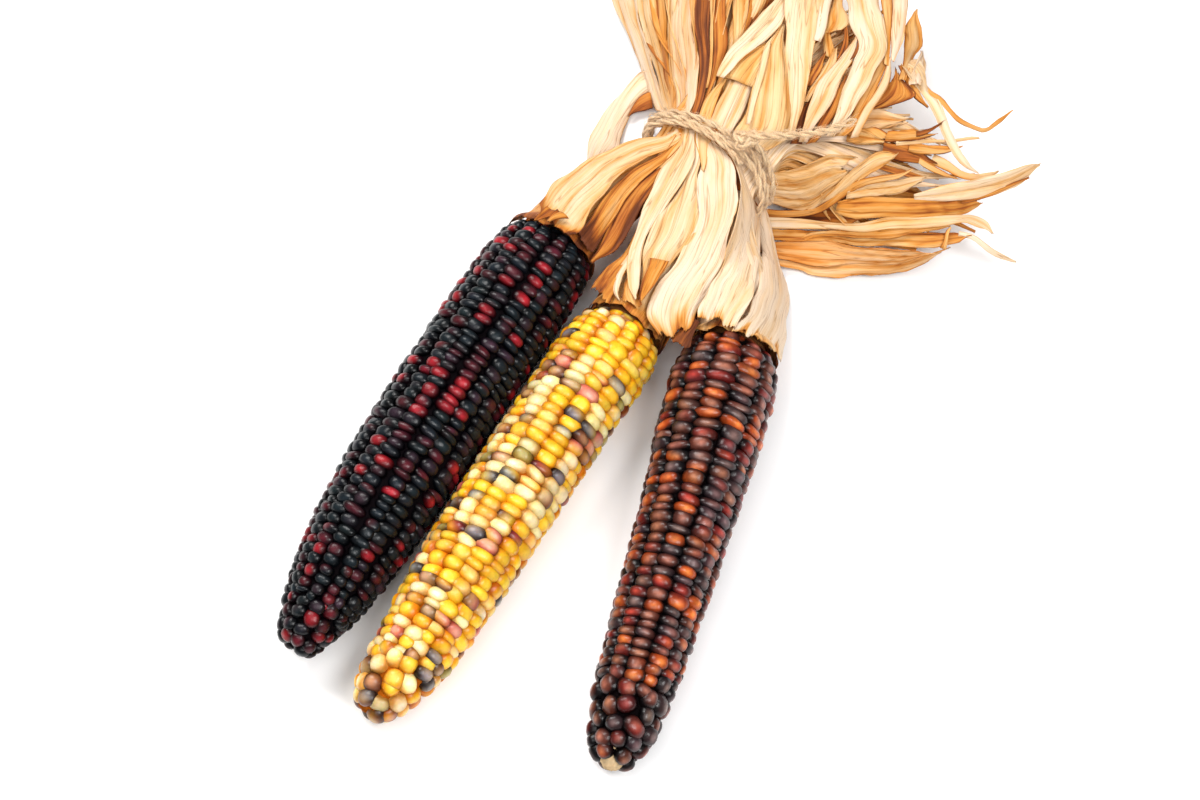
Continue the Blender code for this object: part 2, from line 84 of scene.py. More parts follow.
# base: the butt of the ear; heading: degrees from -Y towards +X; profile:
# distance from the butt and radius over the kernels' crowns; rows of kernels;
# flat: how far along the ear its underside lies on the surface.
EARS = {
    "left": {
        "base": (-37.9, -57.5), "heading": -4.1, "rows": 16, "bow": -1.6,
        "profile": [(0, 14.4), (3, 17.2), (8, 18.9), (18, 19.8), (45, 20.2), (80, 20.1),
                    (108, 19.7), (132, 18.3), (150, 15.9), (162, 13.2), (171, 10.2), (177, 7.0), (180, 3.2)],
        "column": -2.0 / 3.0, "flat": (8.0, 116.0),
    },
    "middle": {
        "base": (-1.1, -77.0), "heading": -5.0, "rows": 14, "bow": -0.8,
        "profile": [(0, 12.6), (3, 14.9), (8, 16.3), (18, 17.2), (45, 17.6), (80, 17.5),
                    (105, 17.0), (128, 15.8), (144, 14.2), (156, 12.4), (165, 9.8), (170, 7.0), (172.5, 3.4)],
        "column": 0.0, "flat": (8.0, 110.0),
    },
    "right": {
        "base": (37.6, -69.0), "heading": 9.0, "rows": 12, "bow": 1.0,
        "profile": [(0, 14.0), (3, 16.6), (8, 18.3), (18, 19.2), (38, 18.8), (62, 17.4),
                    (90, 16.2), (115, 15.2), (135, 13.8), (148, 12.2), (156, 10.0), (161, 7.0), (163, 4.0)],
        "column": 2.0 / 3.0, "flat": (8.0, 116.0),
    },
}
# the shank behind the butt: distance from the butt and radius
SHANK = [(-14.0, 5.0), (-13.0, 6.0), (-11.4, 6.8), (-2.6, 11.8), (-1.0, 12.2)]


def smooth(x):
    x = np.clip(x, 0.0, 1.0)
    return x * x * (3.0 - 2.0 * x)


def hash01(*keys):
    """A repeatable number from 0 to 1 for these keys."""
    v = 0.0
    for i, k in enumerate(keys):
        v += (float(k) + 1.37) * (12.9898, 78.233, 37.719, 94.673, 51.137)[i % 5]
    return (math.sin(v) * 43758.5453) % 1.0


def through(points, at):
    """A smooth line through the points, read at each place from 0 to 1 along it."""
    points = np.asarray(points, float)
    gaps = np.linalg.norm(np.diff(points, axis=0), axis=1) ** 0.5
    knots = np.concatenate([[0.0], np.cumsum(gaps)])
    tangents = np.zeros_like(points)
    tangents[1:-1] = (points[2:] - points[:-2]) / (knots[2:] - knots[:-2])[:, None]
    tangents[0] = (points[1] - points[0]) / gaps[0] * 1.5 - tangents[1] * 0.5
    tangents[-1] = (points[-1] - points[-2]) / gaps[-1] * 1.5 - tangents[-2] * 0.5
    where = np.asarray(at, float) * knots[-1]
    k = np.clip(np.searchsorted(knots, where, side="right") - 1, 0, len(points) - 2)
    s = ((where - knots[k]) / gaps[k])[:, None]
    h = gaps[k][:, None]
    return ((2 * s**3 - 3 * s**2 + 1) * points[k] + (s**3 - 2 * s**2 + s) * h * tangents[k]
            + (-2 * s**3 + 3 * s**2) * points[k + 1] + (s**3 - s**2) * h * tangents[k + 1])


def turned(p):
    """Points of the neck's own frame in the bunch's frame."""
    p = np.asarray(p, float)
    c, s = math.cos(NECK_TURN), math.sin(NECK_TURN)
    q = p.copy()
    q[..., 0] = p[..., 0] * c + p[..., 1] * s
    q[..., 1] = -p[..., 0] * s + p[..., 1] * c
    return q


# ---------------------------------------------------------------------------
# ears
# ---------------------------------------------------------------------------
def ear_radius(ear, s):
    table = np.array(EARS[ear]["profile"], float)
    return np.interp(s, table[:, 0], table[:, 1])


def ear_length(ear):
    return EARS[ear]["profile"][-1][0]


def ear_axis(ear, s):
    """The ear's centre line: points at the distances s from the butt, towards the tip."""
    spec = EARS[ear]
    s = np.asarray(s, float)
    a = math.radians(spec["heading"])
    along = np.array([math.sin(a), -math.cos(a), 0.0])
    side = np.array([math.cos(a), math.sin(a), 0.0])
    lo, hi = spec["flat"]
    length = ear_length(ear)
    bend = np.maximum(spec["bow"] * (1.0 - ((s - length * 0.5) / (length * 0.5)) ** 2), -9.0) if spec["bow"] > 0 else \
        np.minimum(spec["bow"] * (1.0 - ((s - length * 0.5) / (length * 0.5)) ** 2), 9.0)
    z = ear_radius(ear, np.clip(s, lo, hi)) - 0.07 * np.maximum(s - hi, 0.0)
    base = np.array([spec["base"][0], spec["base"][1], 0.0])
    return base + s[:, None] * along + bend[:, None] * side + z[:, None] * np.array([0, 0, 1.0])


# ---------------------------------------------------------------------------
# husk leaves
# ---------------------------------------------------------------------------
def neck_shape(share):
    """How much of the neck's height is left at this share of its half width."""
    return 1.0 - 0.55 * np.abs(share) ** 2.2


def level_share(level):
    return (level - (LEVELS - 1) / 2.0) / (LEVELS / 2.0)


def lean(level):
    return NECK_LEAN * NECK_HALF_HEIGHT * level_share(level)


def sleeve_axis(ear, q):
    """Centre line of an ear's husks from the butt (0) to the neck (1)."""
    spec = EARS[ear]
    a = math.radians(spec["heading"])
    start = ear_axis(ear, np.array([0.0]))[0]
    end = turned(np.array([spec["column"] * NECK_HALF_WIDTH, -NECK_HALF_LENGTH, NECK_Z]))
    reach = np.linalg.norm(end - start)
    t0 = np.array([-math.sin(a), math.cos(a), 0.0]) * reach * 0.9
    t1 = turned(np.array([0.0, 1.0, 0.0])) * reach * 0.9
    q = np.asarray(q, float)[:, None]
    return ((2 * q**3 - 3 * q**2 + 1) * start + (q**3 - 2 * q**2 + q) * t0
            + (-2 * q**3 + 3 * q**2) * end + (q**3 - q**2) * t1)


def sleeve_length(ear):
    line = sleeve_axis(ear, np.linspace(0, 1, 40))
    return float(np.linalg.norm(np.diff(line, axis=0), axis=1).sum())


def gather(q):
    """How far the section has gone from a round shell to its place in the neck."""
    return smooth((np.asarray(q, float) - 0.12) / 0.82)


def headings(xy):
    d = np.gradient(xy, axis=0)
    return d / np.maximum(np.linalg.norm(d, axis=1), 1e-9)[:, None]


def tail_top(x, y):
    """Height of the pile of tails over the surface, at a place in plan."""
    side = np.degrees(np.arctan2(x, y + 8.0))
    high = PILE_HEIGHT * (1.0 - 0.40 * smooth((side - 20.0) / 65.0) - 0.14 * smooth((-side - 25.0) / 40.0))
    r = np.hypot(x, y)
    return high * (1.0 - 0.20 * (r / 130.0) ** 2)


def tail_height(level, column, x, y):
    """Height of a gathered leaf's layer at a place in plan, beyond the twine."""
    out = np.hypot(np.maximum(np.abs(x) - NECK_HALF_WIDTH * 0.70, 0.0), np.maximum(y - NECK_HALF_LENGTH - lean(level), 0.0))
    f = smooth(out / TAIL_RISE)
    share = np.clip(x / NECK_HALF_WIDTH, -1.0, 1.0)
    neck = NECK_Z + NECK_HALF_HEIGHT * level_share(level) * neck_shape(share)
    step = tail_top(x, y) / (LEVELS + UNDER_LEVELS)
    free = 0.9 + (level + 0.33 * np.sign(column) + UNDER_LEVELS + 0.2) * step
    return (1 - f) * neck + f * free


def turn_over(spec):
    """The distance in which a tail turns to its own heading."""
    return {"left": 14.0 + 0.16 * abs(spec["turn"]), "middle": 22.0, "right": 12.0 + 0.12 * abs(spec["turn"])}[spec["ear"]]


def leaf_width(spec, s_mm):
    """Half width of a gathered leaf at a distance along its tail."""
    start = NECK_HALF_WIDTH * SLAB_SHARE
    full = spec["width"] / 2.0
    after = turn_over(spec)
    w = start + (full - start) * smooth((s_mm - after) / 30.0)
    tip = smooth((s_mm / spec["length"] - 0.52) / 0.50)
    return w * (1 - tip) + spec["tip"] * tip


def tail_plan(spec, s_mm):
    """Plan line of a gathered leaf's tail, and its heading there, in the neck's frame."""
    fine = np.linspace(0.0, spec["length"], 241)
    turn = (spec["turn"] - math.degrees(NECK_TURN)) * smooth(fine / turn_over(spec))
    turn = turn + spec["curl"] * (fine / spec["length"]) ** 1.4
    turn = turn + spec["sway"] * np.sin(fine / spec["length"] * 5.2 + spec["phase"]) * smooth(fine / 45.0)
    a = np.radians(turn)
    step = fine[1] - fine[0]
    x = EARS[spec["ear"]]["column"] * NECK_HALF_WIDTH + np.concatenate([[0.0], np.cumsum((np.sin(a[1:]) + np.sin(a[:-1])) / 2) * step])
    y = NECK_HALF_LENGTH + lean(spec["level"]) + np.concatenate([[0.0], np.cumsum((np.cos(a[1:]) + np.cos(a[:-1])) / 2) * step])
    return np.stack([np.interp(s_mm, fine, x), np.interp(s_mm, fine, y)], axis=1), np.interp(s_mm, fine, a)


def ribbon(points, at, u):
    """A strip along a line through points (x, y, z, half width, bank in degrees)."""
    pts = np.array(points, float)
    line = through(pts[:, :3], at)
    gaps = np.linalg.norm(np.diff(pts[:, :3], axis=0), axis=1) ** 0.5
    knots = np.concatenate([[0.0], np.cumsum(gaps)]) / gaps.sum()
    w = through(np.stack([pts[:, 3], pts[:, 4] / 10.0, knots * 50.0], axis=1), at)
    half = np.interp(at, knots, pts[:, 3]) * 0.5 + np.clip(w[:, 0], 0.6, None) * 0.5
    bank = np.radians(np.interp(at, knots, pts[:, 4]))
    fine = through(pts[:, :3], np.linspace(0, 1, 201))
    d = np.gradient(fine, axis=0)
    d = d / np.maximum(np.linalg.norm(d, axis=1), 1e-9)[:, None]
    d = np.stack([np.interp(at, np.linspace(0, 1, 201), d[:, k]) for k in range(3)], axis=1)
    # the level direction across the strip, carried along where the line goes steeply
    side = np.cross(d, [0.0, 0.0, 1.0])
    for i in range(len(side)):
        n = np.linalg.norm(side[i])
        if i and (n < 0.35 or side[i] @ side[i - 1] < 0):
            side[i] = side[i - 1] - (side[i - 1] @ d[i]) * d[i]
            n = np.linalg.norm(side[i])
        side[i] /= max(n, 1e-9)
    up = np.cross(side, d)
    across = side * np.cos(bank)[:, None] - up * np.sin(bank)[:, None]
    return line[:, None, :] + across[:, None, :] * (half[:, None] * u[None, :])[:, :, None]


def gathered_leaf(spec, rows_sleeve, rows_neck, rows_tail, across):
    """Points of a gathered leaf's middle surface: rows from its base on the shank to its tip, and across."""
    ear, level = spec["ear"], spec["level"]
    column = EARS[ear]["column"]
    u = np.linspace(-1.0, 1.0, across + 1)
    top = level >= LEVELS // 2
    shell = level - LEVELS // 2 if top else LEVELS // 2 - 1 - level
    radius = SHELL_FIRST + SHELL_PITCH * shell
    first = (3.2 + 2.2 * (LEVELS // 2 - 1 - shell)) / sleeve_length(ear)
    q = np.linspace(first, 1.0, rows_sleeve + 1)
    c = sleeve_axis(ear, q)
    d = headings(sleeve_axis(ear, np.linspace(0, 1, 101))[:, :2])
    dx = np.interp(q, np.linspace(0, 1, 101), d[:, 0])
    dy = np.interp(q, np.linspace(0, 1, 101), d[:, 1])
    g = gather(q)[:, None]
    phi = SHELL_REACH * u[None, :]
    arc_x, arc_z = radius * np.sin(phi), radius * np.cos(phi) * (1.0 if top else -1.0)
    share = column + SLAB_SHARE * u[None, :]
    flat_x = SLAB_SHARE * NECK_HALF_WIDTH * u[None, :]
    flat_z = NECK_HALF_HEIGHT * level_share(level) * neck_shape(share)
    sx, sz = (1 - g) * arc_x + g * flat_x, (1 - g) * arc_z + g * flat_z
    fore = lean(level) * smooth(q)[:, None]
    sleeve = np.stack([c[:, 0:1] + dy[:, None] * sx + dx[:, None] * fore,
                       c[:, 1:2] - dx[:, None] * sx + dy[:, None] * fore, c[:, 2:3] + sz], axis=2)
    y = np.linspace(-NECK_HALF_LENGTH, NECK_HALF_LENGTH, rows_neck + 1)[1:, None] + lean(level)
    ones = np.ones_like(y)
    neck = turned(np.stack([ones * (column * NECK_HALF_WIDTH + flat_x), y * np.ones_like(flat_x),
                            ones * (NECK_Z + flat_z)], axis=2))
    if "path" in spec:
        end = neck[-1].mean(axis=0)
        fwd = turned(np.array([0.0, 1.0, 0.0]))
        points = [(*(end + fwd * 0.2), NECK_HALF_WIDTH * SLAB_SHARE, 0.0),
                  (*(end + fwd * 7.0), NECK_HALF_WIDTH * SLAB_SHARE, 0.0)] + list(spec["path"])
        tail = ribbon(points, np.linspace(0.0, 1.0, rows_tail + 1)[1:], u)
        c, s = math.cos(NECK_TURN), math.sin(NECK_TURN)
        x, y = tail[..., 0] * c - tail[..., 1] * s, tail[..., 0] * s + tail[..., 1] * c
        floor = tail_height(LEVELS - 1 + spec["over"], 0.0, x, y)
        tail[..., 2] = np.maximum(tail[..., 2], floor)
        return np.concatenate([sleeve, neck, tail], axis=0)
    s = np.linspace(0.0, 1.0, rows_tail + 1)[1:] ** 1.08 * spec["length"]
    plan, a = tail_plan(spec, s)
    w = leaf_width(spec, s)[:, None] * u[None, :]
    x = plan[:, 0:1] + np.cos(a)[:, None] * w
    yy = plan[:, 1:2] - np.sin(a)[:, None] * w
    tail = turned(np.stack([x, yy, tail_height(level, column, x, yy)], axis=2))
    return np.concatenate([sleeve, neck, tail], axis=0)


def loose_leaf(points, rows, across):
    """Points of a leaf that the twine doesn't hold."""
    return ribbon(points, np.linspace(0.0, 1.0, rows + 1), np.linspace(-1.0, 1.0, across + 1))


# headings of the tails of each level, lowest first: left, middle and right ear
TAIL_HEADINGS = [(-30, 20, 106), (-12, 48, 97), (-34, 4, 103), (-20, 30, 88), (-8, 44, 100), (-32, 12, 66),
                 (-18, 36, 98), (-35, -4, 58), (-10, 26, 84), (-28, 40, 94), (-20, 2, 68), (-6, 22, 42)]
# tails that leave the pile and go their own way over it: points with half width and bank
OWN_TAILS = {
    ("middle", 11): (2.4, [(5, 20, 42, 6, 0), (12, 29, 50, 7, 0), (18, 40, 55, 8, 0), (14, 58, 59, 9, 0), (9, 78, 60, 9, 0),
                           (6, 98, 56, 7, 0), (5, 114, 49, 2.5, 0)]),
    ("middle", 10): (0.6, [(7, 32, 43, 9, 0), (13, 50, 47, 9.5, 0), (17, 70, 49, 8, 0), (19, 84, 48, 4, 0)]),
    ("right", 11): (1.5, [(33, 16, 41, 7.5, 6), (44, 30, 47, 8, 10), (46, 48, 51, 8.5, 8), (39, 66, 52, 8.5, 0), (30, 84, 51, 7.5, 0),
                          (25, 98, 47, 5, 0), (23, 108, 43, 2, 0)]),
}
LOOSE_LEAVES = {
    "left_husk_leaf_13": [(-38, -30, 8.0, 5.0, 0), (-46, -14, 6.0, 7.0, -10), (-45, 8, 8.0, 7.5, -24), (-30, 24, 10.0, 7.0, -18),
                          (-12, 34, 6.0, 6.0, -4), (-4, 52, 3.2, 5.0, 0), (-2, 70, 2.6, 2.0, 0)],
    "middle_husk_leaf_13": [(13.0, -64, 5.6, 3.5, 0), (15.5, -50, 4.4, 4.5, 0), (19.5, -36, 3.2, 6.5, 0), (31, -21, 2.6, 10, 0),
                            (51, -13, 3.0, 13, 0), (72, -6, 3.2, 10, 0), (88, -1, 3.6, 5, 0), (96, 2, 4.0, 1.5, 0)],
    "right_husk_leaf_13": [(15.0, -60, 7.6, 3.0, 0), (17.5, -46, 6.4, 4.0, 0), (23.5, -32, 5.0, 6.5, 0), (37, -20, 4.3, 9, 0),
                           (57, -14, 4.7, 10, 0), (78, -10, 5.0, 8, 0), (95, -4, 5.4, 4, 0), (104, 4, 5.0, 1.5, 0)],
}


def leaf_specs():
    """Every gathered leaf: its ear, its level in the neck and the shape of its tail."""
    specs = {}
    for e, ear in enumerate(("left", "middle", "right")):
        for level in range(LEVELS):
            r = [hash01(e, level, k) for k in range(6)]
            turn = TAIL_HEADINGS[level][e]
            spec = {
                "ear": ear, "level": level, "turn": turn,
                "length": 104.0 + 32.0 * r[0] - 0.24 * max(turn - 20.0, 0.0) - 18.0 * math.exp(-((turn - 52.0) / 14.0) ** 2),
                "width": 17.0 + 13.0 * r[1] + 0.06 * max(turn, 0.0),
                "tip": 1.2 + 1.8 * r[2],
                "curl": -1.0 * max(turn - 66.0, 0.0) + 22.0 * (r[3] - 0.5),
                "sway": 3.0 + 5.0 * r[4], "phase": 6.28 * r[5],
            }
            if (ear, level) in OWN_TAILS:
                spec["over"], spec["path"] = OWN_TAILS[(ear, level)]
            specs["%s_husk_leaf_%02d" % (ear, level + 1)] = spec
    return specs


# ---------------------------------------------------------------------------
# twine
# ---------------------------------------------------------------------------
TWINE_RADIUS = 1.55
TWINE_TURNS = 3
TWINE_PITCH = 3.5
TWINE_CLEAR = 0.65          # from the outermost leaf's middle to the twine
TWINE_AT = -4.5             # the middle of the turns, along the neck


def ring_point(angle, y):
    """A point of the twine's centre line round the neck: the angle from its right side, and how far along it."""
    c, s = np.cos(angle), np.sin(angle)
    x = (NECK_HALF_WIDTH + 2.0 + TWINE_RADIUS) * np.sign(c) * np.abs(c) ** 0.87
    top = NECK_HALF_HEIGHT * level_share(LEVELS - 1) + TWINE_CLEAR
    z = (top + TWINE_RADIUS) * np.sign(s) * np.abs(s) ** 0.87
    return np.stack([x, y + NECK_LEAN * z, NECK_Z + z], axis=-1)


def twine_wraps_path(points_each_turn=22):
    """Centre line of the turns round the neck, with both ends brought up to the knot."""
    n = TWINE_TURNS * points_each_turn
    t = np.linspace(0.0, 1.0, n + 1)
    angle = math.radians(62.0) + 2 * math.pi * TWINE_TURNS * t
    y = TWINE_AT + TWINE_PITCH * TWINE_TURNS * (t - 0.5)
    return turned(ring_point(angle, y))


LOOSE_END = [(11.2, 1.4, 38.4), (17.0, 3.2, 41.2), (24.0, 5.2, 43.6), (31.5, 8.0, 45.6), (39.0, 12.2, 47.4), (45.5, 18.0, 50.0)]


def twine_end_path(points=14):
    return through(LOOSE_END, np.linspace(0.0, 1.0, points))

# ---------------------------------------------------------------------------
# place: design millimetres to the frame's metres
# ---------------------------------------------------------------------------
MM = 0.001


def ear_frame(ear):
    a = math.radians(EARS[ear]["heading"])
    return np.array([math.sin(a), -math.cos(a), 0.0]), np.array([math.cos(a), math.sin(a), 0.0])


def design_low(ear):
    """Lowest corner of the constructed ear, in design millimetres."""
    length, sides = ear_length(ear), EARS[ear]["rows"] * 2
    along, side = ear_frame(ear)
    table = [(s, r, 0.0) for s, r in SHANK]
    stations = [1.2, 4.5, 10.0, 20.0, 38.0, 58.0, 80.0, 100.0, 116.0, 130.0] + list(length - np.array([32.0, 22.0, 13.0, 6.5, 2.2, 0.4]))
    for s in sorted(x for x in stations if 0 < x < length):
        r = float(ear_radius(ear, s))
        table.append((s, r, 1.5 * float(smooth((s - 1.0) / 6.0)) * min(1.0, r / 14.0)))
    points = []
    for s, r, depth in table:
        c = ear_axis(ear, np.array([max(s, 0.0)]))[0] + min(s, 0.0) * along
        for k in range(sides):
            angle = -math.pi / 2 + 2 * math.pi * k / sides
            rr = r - (depth if k % 2 else 0.0)
            points.append(c + side * (rr * math.cos(angle)) + np.array([0, 0, rr * math.sin(angle)]))
    return np.min(points, axis=0)


OFFSET = np.array(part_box("left_ear")[0]) - design_low("left") * MM


def placed(points_mm):
    return np.asarray(points_mm, float) * MM + OFFSET


# ---------------------------------------------------------------------------
# camera
# ---------------------------------------------------------------------------
def make_camera():
    az, el = math.radians(25.0), math.radians(63.0)
    right = np.array([math.cos(az), math.sin(az), 0.0])
    back = np.array([math.sin(az) * math.cos(el), -math.cos(az) * math.cos(el), math.sin(el)])
    up = np.cross(back, right)
    pos = placed([193.2, -513.6, 899.0])
    data = bpy.data.cameras.new("camera")
    data.lens, data.sensor_width = 85.0, 36.0
    data.clip_start, data.clip_end = 0.05, 20.0
    obj = bpy.data.objects.new("camera", data)
    bpy.context.scene.collection.objects.link(obj)
    obj.matrix_world = Matrix([[right[0], up[0], back[0], pos[0]], [right[1], up[1], back[1], pos[1]],
                               [right[2], up[2], back[2], pos[2]], [0, 0, 0, 1]])
    bpy.context.scene.camera = obj


make_camera()


# ---------------------------------------------------------------------------
# meshes and materials
# ---------------------------------------------------------------------------
def mesh_piece(name, verts_mm, quads, tris=(), attributes=None, materials=(), smooth_shade=True):
    """A mesh object from arrays: verts in design mm; attributes is {name: (type, values per vertex)}."""
    verts = placed(verts_mm)
    quads = np.asarray(quads, np.int32).reshape(-1, 4)
    tris = np.asarray(tris, np.int32).reshape(-1, 3)
    me = bpy.data.meshes.new(name)
    me.vertices.add(len(verts))
    me.vertices.foreach_set("co", verts.astype(np.float32).ravel())
    loops = np.concatenate([quads.ravel(), tris.ravel()])
    me.loops.add(len(loops))
    me.loops.foreach_set("vertex_index", loops)
    starts = np.concatenate([np.arange(len(quads)) * 4, len(quads) * 4 + np.arange(len(tris)) * 3]).astype(np.int32)
    me.polygons.add(len(starts))
    me.polygons.foreach_set("loop_start", starts)
    for key, (kind, values) in (attributes or {}).items():
        values = np.asarray(values, np.float32)
        if kind == "COLOR":
            full = np.ones((len(verts), 4), np.float32)
            full[:, :3] = values
            me.color_attributes.new(key, "FLOAT_COLOR", "POINT").data.foreach_set("color", full.ravel())
        elif kind == "VECTOR":
            me.attributes.new(key, "FLOAT_VECTOR", "POINT").data.foreach_set("vector", values.ravel())
        else:
            me.attributes.new(key, "FLOAT", "POINT").data.foreach_set("value", values.ravel())
    me.update(calc_edges=True)
    me.validate()
    if smooth_shade:
        me.shade_smooth()
    for m in materials:
        me.materials.append(m)
    obj = bpy.data.objects.new(name, me)
    bpy.context.scene.collection.objects.link(obj)
    return obj


def on_root(obj, slot, *nodes):
    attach(obj, "root")
    if nodes:
        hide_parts(*nodes)
    return obj


def srgb(r, g, b):
    return tuple((c / 255 / 12.92) if c <= 10 else ((c / 255 + 0.055) / 1.055) ** 2.4 for c in (r, g, b))


class Nodes:
    """A short way to write a material's nodes."""

    def __init__(self, name):
        self.material = bpy.data.materials.new(name)
        self.material.use_nodes = True
        self.tree = self.material.node_tree
        self.tree.nodes.clear()
        self.out = self.tree.nodes.new("ShaderNodeOutputMaterial")

    def new(self, kind, settings=None, **inputs):
        node = self.tree.nodes.new(kind)
        for key, value in (settings or {}).items():
            setattr(node, key, value)
        for key, value in inputs.items():
            self.set(node, key.replace("_", " "), value)
        return node

    def set(self, node, key, value):
        socket = node.inputs[int(key) if key.isdigit() else key]
        if isinstance(value, bpy.types.NodeSocket):
            self.tree.links.new(value, socket)
        elif isinstance(value, bpy.types.Node):
            self.tree.links.new(value.outputs[0], socket)
        else:
            socket.default_value = value

    def maths(self, op, a, b=None, clamp=False):
        node = self.tree.nodes.new("ShaderNodeMath")
        node.operation, node.use_clamp = op, clamp
        self.set(node, "0", a)
        if b is not None:
            self.set(node, "1", b)
        return node.outputs[0]

    def mix(self, factor, a, b, blend="MIX"):
        node = self.tree.nodes.new("ShaderNodeMix")
        node.data_type, node.blend_type = "RGBA", blend
        self.set(node, "0", factor)
        self.set(node, "6", a)
        self.set(node, "7", b)
        return node.outputs[2]

    def ramp(self, factor, stops, interpolation="LINEAR"):
        node = self.tree.nodes.new("ShaderNodeValToRGB")
        node.color_ramp.interpolation = interpolation
        elements = node.color_ramp.elements
        while len(elements) < len(stops):
            elements.new(0.5)
        for element, (at, colour) in zip(elements, stops):
            element.position = at
            element.color = (*colour, 1.0) if hasattr(colour, "__len__") else (colour, colour, colour, 1.0)
        self.set(node, "0", factor)
        return node.outputs[0]

    def stretched(self, vector, scale):
        node = self.tree.nodes.new("ShaderNodeMapping")
        self.set(node, "Vector", vector)
        node.inputs["Scale"].default_value = scale
        return node.outputs[0]

    def noise(self, vector, scale, detail=3.0, rough=0.55, distortion=0.0):
        node = self.tree.nodes.new("ShaderNodeTexNoise")
        self.set(node, "Vector", vector)
        node.inputs["Scale"].default_value = scale
        node.inputs["Detail"].default_value = detail
        node.inputs["Roughness"].default_value = rough
        node.inputs["Distortion"].default_value = distortion
        return node.outputs[0]

    def bump(self, height, strength, distance, normal=None):
        node = self.tree.nodes.new("ShaderNodeBump")
        node.inputs["Strength"].default_value = strength
        node.inputs["Distance"].default_value = distance
        self.set(node, "Height", height)
        if normal is not None:
            self.set(node, "Normal", normal)
        return node.outputs[0]

    def attribute(self, name, output):
        node = self.tree.nodes.new("ShaderNodeAttribute")
        node.attribute_name = name
        return node.outputs[output]

    def coordinates(self, output="Object"):
        return self.tree.nodes.new("ShaderNodeTexCoord").outputs[output]

    def finish(self, shader):
        self.tree.links.new(shader, self.out.inputs["Surface"])
        return self.material


def kernel_material(name, roughness, coat, subsurface, mottle, specular):
    n = Nodes(name)
    place = n.coordinates()
    tint = n.attribute("tint", "Color")
    patch = n.noise(place, 420.0, 3.0, 0.6)
    shade = n.ramp(patch, [(0.30, (1 - mottle,) * 3), (0.55, (1.0, 1.0, 1.0)), (0.75, (1 + mottle * 0.6,) * 3)])
    colour = n.mix(1.0, tint, shade, "MULTIPLY")
    streak = n.noise(place, 1500.0, 2.0, 0.6)
    rough = n.maths("ADD", n.maths("MULTIPLY", streak, 0.16), roughness - 0.08)
    wrinkle = n.noise(place, 900.0, 4.0, 0.6)
    dent = n.noise(place, 260.0, 1.0, 0.5)
    normal = n.bump(wrinkle, 0.22, 0.0004, n.bump(dent, 0.35, 0.0012))
    shader = n.new("ShaderNodeBsdfPrincipled", Base_Color=colour, Roughness=rough, Normal=normal)
    shader.inputs["Specular IOR Level"].default_value = specular
    shader.inputs["Coat Weight"].default_value = coat
    shader.inputs["Coat Roughness"].default_value = 0.22
    shader.inputs["IOR"].default_value = 1.43
    if subsurface:
        shader.inputs["Subsurface Weight"].default_value = subsurface
        shader.inputs["Subsurface Radius"].default_value = (1.0, 0.45, 0.15)
        shader.inputs["Subsurface Scale"].default_value = 0.0026
    return n.finish(shader.outputs[0])

# ---------------------------------------------------------------------------
# ears: kernels on a cob
# ---------------------------------------------------------------------------
def seeded(*keys):
    return np.random.default_rng([int(k) for k in keys])


def kernel_template(segments, bands, square, dome):
    """A closed flint kernel: unit half axes across the row (x), along the ear (y) and outwards (z)."""
    phi = np.arange(segments) * 2 * math.pi / segments
    verts, rise = [], []
    for theta in bands:
        ct, st = abs(math.cos(theta)) ** dome, math.copysign(abs(math.sin(theta)) ** dome, math.sin(theta))
        c, s = np.cos(phi), np.sin(phi)
        x = ct * np.sign(c) * np.abs(c) ** square
        y = ct * np.sign(s) * np.abs(s) ** square
        verts.append(np.stack([x, y, np.full(segments, st)], axis=1))
        rise += [math.sin(theta)] * segments
    verts = np.concatenate(verts + [np.array([[0, 0, 1.0], [0, 0, -0.62]])])
    rise = np.array(rise + [1.0, -0.62])
    quads, tris = [], []
    for r in range(len(bands) - 1):
        for k in range(segments):
            n = (k + 1) % segments
            quads.append((r * segments + k, r * segments + n, (r + 1) * segments + n, (r + 1) * segments + k))
    top, bottom, last = len(bands) * segments, len(bands) * segments + 1, (len(bands) - 1) * segments
    for k in range(segments):
        n = (k + 1) % segments
        tris.append((last + k, last + n, top))
        tris.append((n, k, bottom))
    return verts, rise, np.array(quads), np.array(tris)


# kernel colours: share, middle of the crown (partly the kernel's own colour, partly a painted highlight), its sides,
# its rim beside the next kernel (painted shade between the kernels)
BLACKS = [
    (0.58, srgb(24, 33, 38), srgb(9, 13, 17), srgb(1, 1, 3)),
    (0.14, srgb(164, 34, 44), srgb(104, 12, 20), srgb(12, 1, 5)),
    (0.20, srgb(84, 24, 34), srgb(40, 9, 16), srgb(4, 1, 3)),
    (0.08, srgb(56, 38, 48), srgb(22, 13, 20), srgb(3, 1, 4)),
]
GOLDS = [
    (0.35, srgb(248, 206, 70), srgb(235, 174, 24), srgb(202, 118, 8)),
    (0.14, srgb(242, 190, 50), srgb(228, 152, 17), srgb(188, 96, 6)),
    (0.21, srgb(246, 226, 182), srgb(236, 202, 134), srgb(200, 140, 60)),
    (0.06, srgb(222, 152, 130), srgb(192, 96, 78), srgb(120, 46, 30)),
    (0.07, srgb(138, 130, 128), srgb(76, 68, 66), srgb(34, 22, 16)),
    (0.10, srgb(190, 142, 104), srgb(116, 68, 40), srgb(48, 22, 10)),
    (0.05, srgb(182, 170, 106), srgb(138, 120, 52), srgb(78, 52, 13)),
    (0.03, srgb(170, 74, 62), srgb(118, 34, 30), srgb(60, 14, 11)),
]
BROWNS = [
    (0.36, srgb(164, 104, 84), srgb(76, 36, 27), srgb(7, 4, 5)),
    (0.17, srgb(226, 126, 60), srgb(152, 60, 20), srgb(22, 8, 6)),
    (0.18, srgb(168, 58, 48), srgb(86, 19, 17), srgb(9, 3, 4)),
    (0.29, srgb(118, 92, 88), srgb(44, 29, 31), srgb(5, 3, 5)),
]
